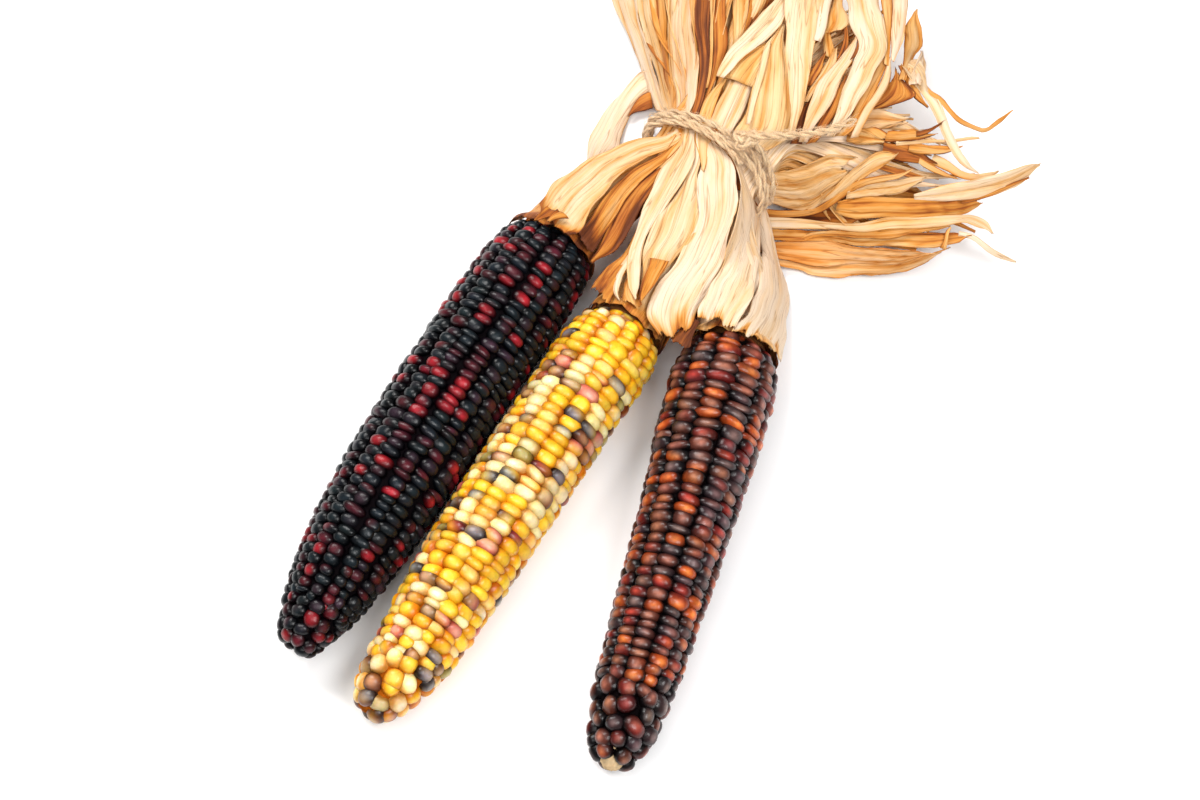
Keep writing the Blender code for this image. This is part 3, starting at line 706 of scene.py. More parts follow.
EAR_LOOKS = {
    "left": dict(colours=BLACKS, pitch=3.60, height=3.5, wide=1.07, long=0.66, pair=0.13, lean=0.18, segments=16, tip=17.0, tip_size=5.5, short=1.5, core=srgb(8, 4, 7)),
    "middle": dict(colours=GOLDS, pitch=4.05, height=3.9, wide=1.24, long=0.72, pair=0.05, lean=0.14, segments=16, tip=23.0, tip_size=6.9, short=3.5, core=srgb(176, 92, 14)),
    "right": dict(colours=BROWNS, pitch=3.70, height=3.8, wide=1.10, long=0.70, pair=0.06, lean=0.20, segments=16, tip=27.0, tip_size=7.3, short=3.5, core=srgb(10, 5, 7)),
}


def smooth_profile(ear):
    """Distance, radius over the crowns and slope, finely and without the table's corners."""
    length = ear_length(ear)
    s = np.linspace(0.0, length, int(length * 4) + 1)
    r = ear_radius(ear, s)
    if ear == "middle":
        r = r + 1.1 * np.exp(-((s - 9.0) / 20.0) ** 2)     # its butt kernels swell a little
    k = np.exp(-0.5 * (np.arange(-12, 13) / 6.0) ** 2)
    padded = np.concatenate([2 * r[0] - r[12:0:-1], r, 2 * r[-1] - r[-2:-14:-1]])
    r = np.convolve(padded, k / k.sum(), mode="valid")
    s = s - EAR_LOOKS[ear]["short"] * smooth((s - length + 40.0) / 40.0)     # the last kernels sit back from the cob's end
    return s, r, np.gradient(r, s)


def seen_axis(ear, s):
    """The ear's axis, with the last of the middle ear bent a little to the left."""
    centre = ear_axis(ear, s)
    if ear == "middle":
        centre = centre - ear_frame(ear)[1] * (2.6 * smooth((s - ear_length(ear) + 36.0) / 36.0))[:, None]
    return centre


def colour_of(ear, s_share, angle, rng):
    colours = EAR_LOOKS[ear]["colours"]
    shares = np.array([c[0] for c in colours])
    if ear == "middle" and s_share < 0.15:
        shares[2:] *= 0.15
    elif ear == "middle":
        plain = 0.55 + 0.45 * math.cos(s_share * 9.0 + 0.4)
        patch = math.sin(21.0 * s_share + 1.6 * angle) + 0.8 * math.sin(33.0 * s_share - 2.0 * angle + 1.0)
        shares[:2] *= (0.62 + 0.9 * plain) * (1.9 if patch > 0.55 else 0.62 if patch < -0.5 else 1.0)
        if s_share > 0.86:
            shares[:2] *= 0.5
    if ear == "right" and s_share > 0.86:
        shares[1] *= 0.35
    pick = rng.choice(len(colours), p=shares / shares.sum())
    light = 1.0 + 0.34 * (rng.random() - 0.5)
    warm = np.array([1.0, 1.0 + 0.16 * (rng.random() - 0.5), 1.0 + 0.20 * (rng.random() - 0.5)])
    # a second colour that the kernel shades into, with how much of it shows
    if ear == "middle":
        other = int(rng.integers(0, 3))
        much = rng.random() * (0.6 if pick < 3 else 0.75)
    else:
        other = int(rng.choice(len(colours), p=np.array([c[0] for c in colours])))
        much = rng.random() ** 1.3 * (0.95 if ear == "right" else 0.6)
    return [np.array(c) * light * warm for c in colours[pick][1:]], [np.array(c) * light * warm for c in colours[other][1:]], much


def ear_kernels(ear):
    look = EAR_LOOKS[ear]
    rows, length = EARS[ear]["rows"], ear_length(ear) - look["short"]
    along, side = ear_frame(ear)
    up = np.array([0.0, 0.0, 1.0])
    s_fine, r_fine, slope = smooth_profile(ear)
    arc = np.concatenate([[0.0], np.cumsum(np.hypot(np.diff(s_fine), np.diff(r_fine)))])
    bands = np.radians([-36.0, -10.0, 14.0, 34.0, 52.0, 70.0] if ear == "left" else [-36.0, -12.0, 10.0, 28.0, 44.0, 59.0, 74.0])
    unit, rise, quads, tris = kernel_template(look["segments"], bands, 0.84, 0.84)
    number = {"left": 1, "middle": 2, "right": 3}[ear]
    all_v, all_c, all_q, all_t = [], [], [], []
    count = 0

    def add(angle, at, half_w, half_l, height, rng, sink=0.0, tilt=(0.0, 0.0), spin=0.0, normal_to_tip=0.0, butt=None):
        nonlocal count
        at = min(max(at, 0.0), arc[-1])
        s = float(np.interp(at, arc, s_fine))
        r = float(np.interp(at, arc, r_fine))
        beta = math.atan(-float(np.interp(at, arc, slope)))
        beta = max(min(beta, 1.35), -1.25) * (1 - normal_to_tip) + normal_to_tip * 1.45
        centre = seen_axis(ear, np.array([s]))[0]
        if butt:
            r, beta = butt[1], math.radians(butt[2])
            centre = centre + along * butt[0]
        out = side * math.cos(angle) + up * math.sin(angle)
        round_ = -side * math.sin(angle) + up * math.cos(angle)
        normal = out * math.cos(beta) + along * math.sin(beta)
        forward = along * math.cos(beta) - out * math.sin(beta)
        # small turns of its own
        normal = normal + round_ * tilt[0] + forward * tilt[1]
        normal /= np.linalg.norm(normal)
        forward = forward - normal * (forward @ normal)
        forward /= np.linalg.norm(forward)
        across = np.cross(forward, normal)
        a2 = across * math.cos(spin) + forward * math.sin(spin)
        f2 = -across * math.sin(spin) + forward * math.cos(spin)
        shape = unit.copy()
        # no two kernels alike: a leaning crown, a flatter or fuller side, and a shallow dent in some
        lean_x, lean_y = rng.normal(0, 0.11, 2)
        shape[:, 0] += lean_x * np.maximum(shape[:, 2], 0)
        shape[:, 1] += lean_y * np.maximum(shape[:, 2], 0)
        full = 1 + rng.normal(0, 0.06) * np.cos(2 * np.arctan2(shape[:, 1], shape[:, 0])) + rng.normal(0, 0.04) * shape[:, 0]
        shape[:, :2] *= full[:, None]
        shape[:, 2] -= max(0.0, rng.normal(0.0, 0.05)) * np.exp(-(shape[:, 0] ** 2 + shape[:, 1] ** 2) * 9) * (rise > 0)
        top = centre + out * r
        base = top - normal * (height + sink)
        p = base + (shape[:, 0:1] * half_w) * a2 + (shape[:, 1:2] * half_l) * f2 + (shape[:, 2:3] * height) * normal
        first, second, much = colour_of(ear, s / length, angle, rng)
        # the crown's colour, partly a painted highlight, sits a little off the middle of the crown, and some kernels
        # keep the dark rim of painted shade right up
        out_by = np.hypot(unit[:, 0], unit[:, 1]) + (0.14 * (lean_x * unit[:, 0] + lean_y * unit[:, 1]) * 8 + abs(rng.normal(0, 0.05))) * (rise > 0)
        # painted shade: the kernel's lower part, hidden between its neighbours, takes the dark rim colour
        out_by = np.where(rise < 0.1, 1.2, out_by)
        # fades from the rim's painted shade through the sides into the crown with its painted highlight
        rim_shade_fade = smooth((0.99 - out_by) / 0.34)[:, None]
        f2 = smooth(((0.64 if ear == "right" else 0.74) - out_by) / 0.60)[:, None]
        colour, colour2 = ((painted_shade_rim * (1 - rim_shade_fade) + flank * rim_shade_fade) * (1 - f2) + crown * f2 for crown, flank, painted_shade_rim in (first, second))
        way = rng.random() * 2 * math.pi
        shift = smooth(0.45 + rng.normal(0, 0.2) + 0.75 * (unit[:, 0] * math.cos(way) + unit[:, 1] * math.sin(way)))[:, None] * much
        colour = colour * (1 - shift) + colour2 * shift
        all_v.append(p)
        all_c.append(colour)
        all_q.append(quads + count)
        all_t.append(tris + count)
        count += len(unit)

    s_tip = length - look["tip"]
    arc_tip = float(np.interp(s_tip, s_fine, arc))
    start = 1.6
    for i in range(rows):
        rng = seeded(number, i, 11)
        partner = 1 if i % 2 == 0 else -1
        angle0 = -math.pi / 2 + 2 * math.pi / rows * (i + 0.5 * look["pair"] * partner)
        at = start + look["pitch"] * ((0.5 if i % 2 else 0.0) + 0.25 * (rng.random() - 0.5))
        wobble = rng.random() * 6.28
        end = arc_tip + rng.normal(0, 1.2)
        while at < end:
            pitch = look["pitch"] * (1 + rng.normal(0, 0.12))
            r = float(np.interp(at, arc, r_fine))
            s_here = float(np.interp(at, arc, s_fine))
            half_w = math.pi * (r - 0.42 * look["height"]) / rows * look["wide"]
            near_tip = smooth((at - (arc_tip - 18)) / 18)
            near_butt = smooth((14.0 - at) / 14.0)
            wave = 0.035 * math.sin(at / 23.0 + wobble) + 0.02 * math.sin(at / 9.0 + wobble * 2)
            angle = angle0 + wave + math.radians(3.0) * (s_here / length)
            jitter = 1 + 0.8 * near_tip + 0.7 * near_butt
            add(angle + rng.normal(0, 0.012 * jitter), at + pitch / 2,
                half_w * (1 + rng.normal(0, 0.06 * jitter)), pitch * look["long"] * (1 + rng.normal(0, 0.05 * jitter)),
                look["height"] * (1 - 0.12 * near_tip), rng,
                sink=abs(rng.normal(0, 0.26 * jitter)) + 0.05,
                tilt=(rng.normal(0, 0.07 * jitter), look["lean"] + rng.normal(0, 0.08 * jitter)), spin=rng.normal(0, 0.09 * jitter))
            at += pitch
    # the butt: short kernels that turn over its edge, as far in as the husks' stump
    rng = seeded(number, 77, 3)
    for off, r, turn, size in ((-0.6, 11.4, -48.0, 5.0), (-2.3, 8.6, -66.0, 4.4)):
        n = int(round(2 * math.pi * r / size))
        for k in range(n):
            add(2 * math.pi * (k + 0.2 * rng.random()) / n, 0.0, size * 0.62, size * 0.56, 3.0, rng, sink=rng.uniform(0.0, 0.5),
                tilt=(rng.normal(0, 0.09), rng.normal(0, 0.09)), butt=(off, r + 0.6, turn))
    # the tip: rounder kernels out of row
    rng = seeded(number, 99, 5)
    at, ring = arc_tip + look["tip_size"] * 0.42, 0
    while at < arc[-1] - 0.4 * look["tip_size"]:
        r = float(np.interp(at, arc, r_fine))
        size = look["tip_size"] * (1.0 - 0.10 * smooth((at - arc_tip) / 20.0))
        n = max(1, int(round(2 * math.pi * max(r - 0.26 * size, 0.4) / size)))
        turn = rng.random() * 6.28
        for k in range(n):
            grow = 1 + rng.normal(0, 0.09)
            add(turn + 2 * math.pi * (k + rng.normal(0, 0.07)) / n, at + rng.normal(0, 0.09) * size,
                size * 0.53 * grow, size * 0.50 * grow * (1 + rng.normal(0, 0.06)), size * 0.56 * grow, rng,
                sink=rng.normal(0.10, 0.25), tilt=(rng.normal(0, 0.10), rng.normal(0, 0.12)), spin=rng.random() * 3.0)
        at += size * (0.82 if r > 6 else 0.74)
        ring += 1
    if ear != "right":
        add(0.3, arc[-1], look["tip_size"] * 0.52, look["tip_size"] * 0.5, look["tip_size"] * 0.55, rng, sink=0.5, normal_to_tip=1.0)
    v = np.concatenate(all_v)
    v[:, 2] = np.maximum(v[:, 2], 0.02)
    return v, np.concatenate(all_c), np.concatenate(all_q), np.concatenate(all_t)


def ear_cob(ear):
    """The cob under the kernels, with the shank behind it, and a bare end where the kernels stop short."""
    look = EAR_LOOKS[ear]
    length = ear_length(ear) - look["short"]
    along, side = ear_frame(ear)
    up = np.array([0, 0, 1.0])
    s_fine, r_fine, _ = smooth_profile(ear)
    deep = look["height"] * 0.80
    stations = [(-14.0, 4.6), (-13.2, 5.6), (-11.4, 6.6), (-7.0, 9.0), (-2.6, 10.6), (-0.8, 10.9)]
    for s in np.linspace(0.8, length - 3.0, 60):
        stations.append((s, max(0.6, float(np.interp(s, s_fine, r_fine)) - deep)))
    if ear == "right":
        stations = [x for x in stations if x[0] < length - 9.0] + [(length - 7.0, 5.2), (length - 4.0, 4.3), (length - 1.6, 3.4), (length - 0.3, 2.0), (length, 0.5)]
    else:
        stations.append((length - 2.2, 0.4))
    sides = 40
    rng = seeded(7, len(ear))
    verts, colours = [], []
    core, pale, stump = np.array(look["core"]), np.array(srgb(226, 200, 158)), np.array(srgb(128, 86, 48))
    for s, r in stations:
        c = seen_axis(ear, np.array([max(s, 0.0)]))[0] + min(s, 0.0) * along
        for k in range(sides):
            a = 2 * math.pi * k / sides
            rr = r * (1 + rng.normal(0, 0.02 if s < length - 9 else 0.10))
            verts.append(c + (side * math.cos(a) + up * math.sin(a)) * rr + along * rng.normal(0, 0.12))
            colours.append(stump if s < 0.5 else pale if ear == "right" and s > length - 7.5 else core)
    verts.append(verts[0] * 0 + seen_axis(ear, np.array([0.0]))[0] - 14.2 * along)
    colours.append(pale)
    tip = seen_axis(ear, np.array([length]))[0] - (0.0 if ear == "right" else 2.0) * along
    verts.append(tip)
    colours.append(pale if ear == "right" else core)
    quads = []
    for i in range(len(stations) - 1):
        for k in range(sides):
            n = (k + 1) % sides
            quads.append((i * sides + k, i * sides + n, (i + 1) * sides + n, (i + 1) * sides + k))
    tris = []
    last = (len(stations) - 1) * sides
    for k in range(sides):
        n = (k + 1) % sides
        tris.append((n, k, len(verts) - 2))
        tris.append((last + k, last + n, len(verts) - 1))
    return np.array(verts), np.array(colours), np.array(quads), np.array(tris)


def make_ears():
    looks = {
        "left": kernel_material("black_kernels", 0.30, 0.0, 0.0, 0.34, 0.30),
        "middle": kernel_material("gold_kernels", 0.34, 0.08, 0.36, 0.18, 0.42),
        "right": kernel_material("brown_kernels", 0.30, 0.0, 0.0, 0.34, 0.36),
    }
    cob = Nodes("cob")
    place = cob.coordinates()
    colour = cob.mix(0.35, cob.attribute("tint", "Color"), cob.ramp(cob.noise(place, 700.0), [(0.3, srgb(90, 60, 44)), (0.7, srgb(216, 180, 140))]), "MULTIPLY")
    shader = cob.new("ShaderNodeBsdfPrincipled", Base_Color=colour, Roughness=0.9, Normal=cob.bump(cob.noise(place, 800.0, 4.0), 0.6, 0.0008))
    shader.inputs["Specular IOR Level"].default_value = 0.05
    cob_material = cob.finish(shader.outputs[0])
    slots = {"left": "black_kernels", "middle": "yellow_kernels", "right": "brown_kernels"}
    for ear in ("left", "middle", "right"):
        v, c, q, t = ear_kernels(ear)
        on_root(mesh_piece(ear + "_kernels", v, q, t, {"tint": ("COLOR", c)}, [looks[ear]]), slots[ear], ear + "_ear")
        v, c, q, t = ear_cob(ear)
        on_root(mesh_piece(ear + "_cob", v, q, t, {"tint": ("COLOR", c)}, [cob_material]), slots[ear])


make_ears()

# a leaf's torn strips, seen from the tie outwards: leaf, colour (0 cream to 1 brown), warmth (-1 pink to 1 yellow),
# pleats, their depth, share of the length where it turns brown (1 for none), raggedness, then the two edges' points
STRIPS = [
    ("middle_12", 0.42, 0.1, 1.2, 1.00, 1.00, 1.0, [(-16.5, 1.4, 28.0, -11.2, 3.7, 29.6), (-16.8, -4.9, 28.9, -9.3, -2.3, 29.9), (-17.1, -11.4, 29.7, -9.4, -7.5, 30.0), (-17.1, -17.5, 30.2, -11.2, -14.0, 30.1), (-16.5, -23.2, 30.2, -12.9, -20.7, 30.0), (-15.6, -29.3, 29.9, -12.7, -27.9, 29.8)]),
    ("middle_12", 0.10, 0.1, 1.1, 0.80, 1.00, 1.0, [(-13.6, 1.9, 29.3, -9.8, 4.1, 29.9), (-11.2, -4.4, 30.2, -7.8, -2.2, 30.2), (-11.2, -12.2, 30.7, -5.5, -7.3, 30.3), (-13.0, -19.6, 30.9, -4.0, -13.2, 30.5), (-13.2, -27.9, 30.7, -3.5, -22.4, 30.7), (-12.8, -34.7, 30.3, -4.4, -31.6, 30.8), (-11.8, -41.1, 29.8, -5.7, -39.9, 30.8), (-10.4, -48.4, 29.7, -6.2, -47.3, 30.9), (-8.8, -56.2, 30.4, -4.6, -55.1, 31.3), (-6.4, -63.1, 31.7, -2.1, -61.4, 32.2), (-2.5, -70.0, 33.1, 0.8, -68.7, 33.1), (0.9, -73.9, 34.2, 2.7, -72.9, 33.9)]),
    ("middle_12", 0.12, 0.2, 1.5, 0.70, 0.62, 1.0, [(-10.8, 2.8, 29.8, -7.2, 5.4, 29.8), (-8.0, -3.6, 29.9, -5.1, -1.0, 29.8), (-5.2, -9.7, 30.0, -2.0, -8.1, 29.9), (-3.7, -18.4, 30.2, -0.5, -16.0, 30.1), (-4.1, -28.0, 30.3, 3.4, -23.6, 30.4), (-5.2, -37.7, 30.4, 6.9, -30.8, 30.5), (-5.6, -46.9, 30.6, 9.2, -40.1, 30.4), (-4.4, -53.8, 30.9, 7.2, -47.9, 30.2), (-1.9, -60.2, 31.6, 5.4, -55.8, 30.5), (0.4, -66.9, 32.6, 3.7, -64.0, 31.5), (2.0, -73.0, 33.7, 3.5, -72.1, 33.3)]),
    ("middle_12", 0.05, 0.0, 2.0, 0.62, 0.86, 2.2, [(-7.6, 4.4, 29.7, -3.1, 6.9, 29.1), (-4.9, -1.7, 29.6, 0.3, 0.9, 29.5), (-2.0, -8.8, 29.6, 7.3, -5.0, 29.7), (-0.2, -17.4, 29.8, 13.1, -12.1, 29.8), (4.8, -26.9, 30.1, 16.9, -19.7, 30.1), (8.4, -35.8, 30.0, 20.2, -30.8, 30.9), (7.5, -46.6, 29.9, 22.6, -42.7, 31.6), (5.7, -56.3, 30.0, 22.7, -51.5, 31.1), (4.7, -64.5, 30.7, 21.7, -57.7, 30.1), (4.8, -72.4, 31.3, 21.7, -63.5, 29.8), (8.6, -77.2, 31.0, 22.9, -70.7, 30.4), (15.9, -82.4, 30.1, 23.4, -77.1, 31.4)]),
    ("middle_12", 0.30, 0.6, 1.2, 1.00, 1.00, 1.0, [(-9.5, 3.3, 30.0, -5.6, 5.4, 29.6), (-7.5, -2.0, 30.1, -2.2, 0.4, 29.8), (-4.9, -6.0, 30.3, -0.7, -4.9, 30.1), (-1.8, -10.3, 30.4, 0.7, -9.7, 30.4), (0.2, -14.0, 30.5, 1.2, -13.6, 30.6)]),
    # a brown strip below the twine: partly the leaf's own brown, partly painted shade beneath the twine
    ("right_12", 0.78, 0.0, 1.2, 1.20, 1.00, 1.0, [(-4.4, 6.1, 29.3, 2.9, 5.9, 29.1), (-4.5, 1.1, 29.7, 5.7, 1.1, 29.5), (3.2, -2.1, 30.2, 11.7, -4.5, 28.5), (10.1, -8.0, 29.9, 17.3, -8.8, 24.0), (14.5, -12.4, 27.7, 20.7, -8.9, 15.4), (18.8, -13.6, 23.4, 24.3, -7.6, 4.8)]),
    ("right_12", 0.00, 0.0, 1.4, 0.50, 0.94, 2.0, [(-0.1, 5.3, 29.3, 7.4, 2.8, 29.9), (5.3, -1.5, 30.4, 11.6, -3.4, 29.0), (12.8, -10.7, 31.1, 17.3, -9.8, 24.8), (17.1, -18.5, 31.9, 21.1, -9.8, 16.8), (20.2, -29.4, 33.1, 24.1, -12.9, 11.5), (22.6, -42.0, 33.9, 28.2, -21.2, 16.3), (23.2, -52.0, 33.6, 35.9, -44.0, 29.3), (22.2, -59.0, 32.9, 37.4, -53.1, 34.7), (23.0, -65.9, 33.0, 38.2, -61.3, 37.7), (24.7, -72.5, 34.3, 38.7, -73.0, 40.3)]),
    ("right_12", 0.00, 0.1, 1.4, 0.50, 0.96, 2.0, [(6.7, 2.5, 29.8, 13.9, -1.4, 29.5), (15.0, -8.3, 26.5, 19.4, -7.5, 19.9), (20.0, -10.4, 18.9, 24.1, -7.3, 11.1), (23.6, -11.8, 11.4, 30.1, -14.3, 5.8), (27.6, -18.9, 9.9, 35.7, -21.9, 4.3), (32.4, -29.9, 17.5, 41.0, -29.5, 4.3), (38.3, -48.8, 30.3, 44.9, -36.9, 4.8), (39.2, -57.2, 35.6, 48.3, -45.0, 6.8), (39.4, -65.8, 38.5, 51.8, -54.5, 11.4), (38.6, -74.6, 40.7, 54.9, -66.5, 18.4)]),
    ("left_12", 0.24, 0.0, 2.4, 0.80, 0.86, 1.6, [(-15.7, 0.4, 28.7, -11.6, -4.2, 29.9), (-19.0, -3.5, 26.6, -14.3, -10.5, 30.6), (-25.8, -9.6, 27.5, -19.2, -17.2, 31.5), (-31.5, -16.2, 28.4, -21.9, -23.4, 32.4), (-36.3, -23.2, 29.2, -24.9, -31.5, 33.2), (-40.4, -29.6, 29.6, -26.3, -39.6, 33.6), (-44.0, -35.4, 30.1, -27.4, -46.4, 34.1), (-45.8, -41.6, 31.2, -28.1, -53.1, 35.2), (-46.0, -48.6, 32.8, -28.8, -59.2, 36.8), (-44.0, -58.3, 38.4, -30.2, -63.6, 38.5)]),
    ("left_12", 0.50, 0.0, 1.5, 0.90, 0.70, 1.0, [(-14.4, -3.3, 29.4, -10.6, -6.6, 30.0), (-15.3, -12.0, 30.5, -12.9, -15.5, 30.6), (-18.6, -18.5, 31.7, -15.5, -21.9, 31.2), (-22.1, -24.7, 32.6, -17.7, -27.5, 31.4), (-24.4, -31.7, 33.3, -19.4, -34.9, 31.1), (-25.6, -39.2, 33.4, -19.8, -41.6, 30.5), (-26.2, -46.4, 33.7, -20.1, -48.6, 30.1), (-26.7, -53.8, 34.7, -20.1, -56.2, 30.5), (-27.9, -59.4, 36.5, -21.2, -62.1, 31.5)]),
    ("left_12", 0.80, 0.0, 1.5, 1.00, 1.00, 1.0, [(-13.3, -5.8, 29.6, -9.3, -7.7, 29.7), (-13.9, -14.9, 30.2, -11.0, -17.9, 29.9), (-15.6, -21.6, 30.7, -12.4, -25.3, 30.0), (-18.5, -27.4, 30.9, -13.2, -32.9, 29.8), (-19.9, -33.9, 30.6, -13.2, -39.7, 29.3), (-20.6, -40.8, 30.0, -13.2, -46.5, 28.9), (-20.6, -47.5, 29.5, -13.5, -53.5, 28.9), (-21.0, -54.3, 29.9, -14.7, -59.4, 29.4), (-21.6, -62.9, 31.1, -17.7, -66.3, 30.2)]),
    ("left_12", 0.66, 0.0, 1.0, 1.00, 1.00, 1.0, [(-41.6, -55.1, 39.5, -35.6, -56.2, 39.9), (-43.6, -59.1, 40.2, -36.9, -60.1, 40.8), (-44.0, -63.1, 41.0, -39.5, -62.7, 41.5)]),
    ("left_12", 0.60, 0.0, 1.0, 1.00, 1.00, 1.0, [(-37.8, -54.9, 39.8, -31.6, -56.4, 38.9), (-39.3, -58.3, 40.6, -33.5, -58.9, 40.0), (-39.4, -62.1, 41.4, -35.6, -61.9, 41.1)]),
    ("middle_11", 0.62, 0.2, 1.4, 1.00, 1.00, 2.5, [(-11.1, -45.2, 28.1, -7.2, -47.7, 29.0), (-11.5, -54.5, 28.4, -5.9, -56.5, 29.7), (-13.7, -63.1, 29.2, -6.9, -64.4, 30.7), (-15.3, -71.4, 30.4, -6.2, -73.4, 31.8), (-16.1, -77.1, 31.6, -6.5, -78.6, 32.7)]),
    ("middle_11", 0.12, 0.2, 0.8, 1.00, 1.00, 1.0, [(-8.9, -48.3, 28.9, -5.3, -50.2, 30.1), (-9.9, -57.0, 29.4, -6.5, -57.8, 30.4), (-10.1, -65.9, 30.5, -7.1, -64.8, 31.2), (-8.0, -72.9, 31.9, -5.5, -71.6, 32.4), (-4.5, -77.2, 33.3, -2.4, -75.0, 33.5)]),
    ("middle_11", 0.50, 0.2, 1.2, 1.00, 1.00, 2.5, [(-5.7, -63.7, 30.0, -1.1, -63.7, 30.5), (-4.7, -71.8, 31.6, 1.6, -69.6, 31.1), (-1.4, -76.3, 32.8, 6.3, -75.6, 31.1)]),
    ("right_11", 0.90, 0.0, 0.8, 1.00, 1.00, 1.0, [(20.7, -69.0, 28.3, 25.0, -70.3, 30.9), (19.6, -75.3, 28.8, 25.6, -76.8, 32.1), (17.8, -81.4, 29.2, 26.8, -83.1, 33.3)]),
    ("left_12", 0.12, 0.0, 1.6, 1.00, 1.00, 1.0, [(-17.6, -4.9, 28.2, -14.2, -2.1, 29.2), (-28.2, 14.2, 11.5, -25.1, 14.6, 13.4), (-32.6, 19.4, 3.5, -28.4, 20.1, 6.1), (-37.2, 25.0, 2.8, -32.7, 24.9, 6.5), (-41.9, 30.7, 4.1, -36.4, 29.3, 9.5), (-46.2, 35.5, 4.8, -39.9, 33.2, 12.8), (-53.4, 43.1, 4.2, -44.5, 38.6, 15.3), (-60.9, 51.3, 3.0, -50.1, 45.5, 16.9), (-67.8, 58.9, 2.0, -54.0, 52.1, 17.4), (-73.1, 64.7, 1.7, -58.4, 59.0, 15.7), (-78.7, 71.3, 1.6, -64.9, 70.6, 11.9), (-79.9, 74.6, 1.0, -68.1, 74.0, 9.9), (-78.1, 77.1, 2.6, -73.4, 76.9, 6.1)]),
    ("left_12", 0.22, 0.1, 1.5, 1.00, 1.00, 1.0, [(-15.5, -4.5, 29.0, -12.8, -1.7, 29.6), (-25.0, 14.5, 13.4, -17.7, 2.4, 24.1), (-28.2, 19.7, 6.4, -24.7, 18.1, 15.5), (-32.2, 24.7, 6.8, -28.7, 23.2, 11.7), (-36.4, 29.2, 9.8, -32.1, 27.6, 13.7), (-39.8, 33.0, 13.0, -34.5, 31.0, 17.7), (-44.4, 38.4, 15.6, -39.2, 36.6, 21.4), (-50.0, 45.3, 17.3, -42.8, 42.7, 24.1), (-53.9, 51.9, 18.1, -46.9, 49.8, 25.5), (-58.0, 59.1, 17.3, -50.9, 56.8, 25.8), (-64.1, 70.7, 14.8, -56.3, 65.9, 25.5), (-68.0, 78.2, 14.2, -61.2, 74.1, 23.4), (-69.5, 83.4, 15.8, -66.8, 81.8, 19.4)]),
    ("middle_12", 0.55, 0.3, 1.0, 1.00, 1.00, 1.0, [(-13.4, -3.8, 29.4, -12.1, -1.4, 29.6), (-23.0, 14.3, 16.2, -16.6, 3.4, 24.8), (-28.5, 22.7, 10.7, -24.9, 20.8, 19.0), (-32.2, 27.2, 12.4, -28.9, 26.1, 17.2), (-35.7, 31.9, 16.7, -32.6, 31.1, 20.1), (-39.7, 37.0, 20.6, -35.8, 36.3, 23.8), (-43.4, 43.1, 23.4, -39.2, 42.6, 26.5), (-47.0, 50.1, 24.9, -43.2, 49.7, 27.8), (-51.1, 57.2, 25.5, -47.2, 56.7, 28.2), (-54.4, 63.6, 25.7, -51.0, 63.2, 28.2), (-60.3, 74.7, 24.8, -57.4, 74.4, 27.0), (-64.4, 83.7, 24.6, -63.3, 83.6, 25.4)]),
    ("middle_12", 0.25, 0.0, 0.8, 1.00, 1.00, 1.0, [(-12.7, -3.6, 29.7, -11.4, -1.3, 29.8), (-17.3, 3.2, 24.7, -14.9, 3.2, 26.4), (-25.2, 20.6, 19.0, -22.3, 18.4, 21.8), (-29.5, 26.4, 17.5, -26.9, 24.9, 20.0), (-32.4, 30.8, 20.7, -30.4, 29.9, 22.5), (-35.2, 35.9, 24.9, -33.5, 35.6, 26.5), (-38.1, 42.0, 27.9, -35.6, 41.7, 30.2), (-41.7, 49.0, 29.6, -37.4, 48.3, 32.9), (-45.0, 55.2, 30.3, -39.0, 54.3, 34.3), (-47.6, 61.9, 30.6, -42.1, 61.2, 34.7), (-51.2, 71.4, 29.9, -46.5, 70.9, 33.4), (-53.1, 79.1, 30.2, -51.2, 78.9, 31.6)]),
    ("middle_12", 0.14, -0.6, 0.7, 0.50, 1.00, 1.0, [(-11.4, -3.1, 29.8, -8.8, -0.0, 29.8), (-15.8, 3.3, 26.1, -12.9, 4.9, 29.3), (-21.0, 16.3, 21.4, -14.8, 11.7, 28.9), (-25.0, 22.7, 18.8, -16.6, 18.4, 28.7), (-28.2, 26.9, 19.7, -18.4, 24.2, 29.3), (-30.7, 30.5, 22.8, -20.7, 29.3, 30.7), (-33.2, 35.8, 26.4, -24.1, 34.9, 32.5), (-35.7, 42.0, 29.7, -27.9, 39.7, 34.6), (-38.0, 48.8, 32.0, -30.4, 47.7, 36.7), (-40.0, 54.9, 33.4, -32.3, 54.5, 38.2), (-43.0, 64.2, 34.1, -35.3, 64.1, 38.8), (-46.8, 77.7, 33.6, -40.2, 77.6, 37.6), (-48.3, 88.7, 34.1, -45.7, 88.6, 35.7)]),
    ("middle_12", 0.85, 0.1, 2.2, 1.00, 1.00, 1.0, [(-9.7, -1.4, 29.8, -7.2, 1.9, 29.5), (-12.7, 5.1, 29.2, -10.3, 6.9, 29.6), (-14.1, 12.1, 28.7, -11.5, 14.1, 29.6), (-16.3, 19.6, 28.6, -13.0, 21.0, 29.9), (-18.2, 25.7, 29.3, -14.6, 27.2, 30.7), (-20.4, 30.4, 30.6, -16.5, 32.2, 31.9), (-23.5, 35.3, 32.4, -19.2, 37.4, 33.6), (-27.6, 40.7, 34.3, -21.6, 42.6, 35.4), (-30.3, 46.6, 36.1, -24.3, 48.5, 37.2), (-32.8, 53.9, 37.4, -27.2, 55.8, 38.5), (-35.1, 60.8, 38.1, -29.7, 62.3, 39.2), (-38.7, 72.0, 37.4, -34.1, 73.4, 38.4), (-40.5, 81.6, 37.1, -38.7, 82.1, 37.5)]),
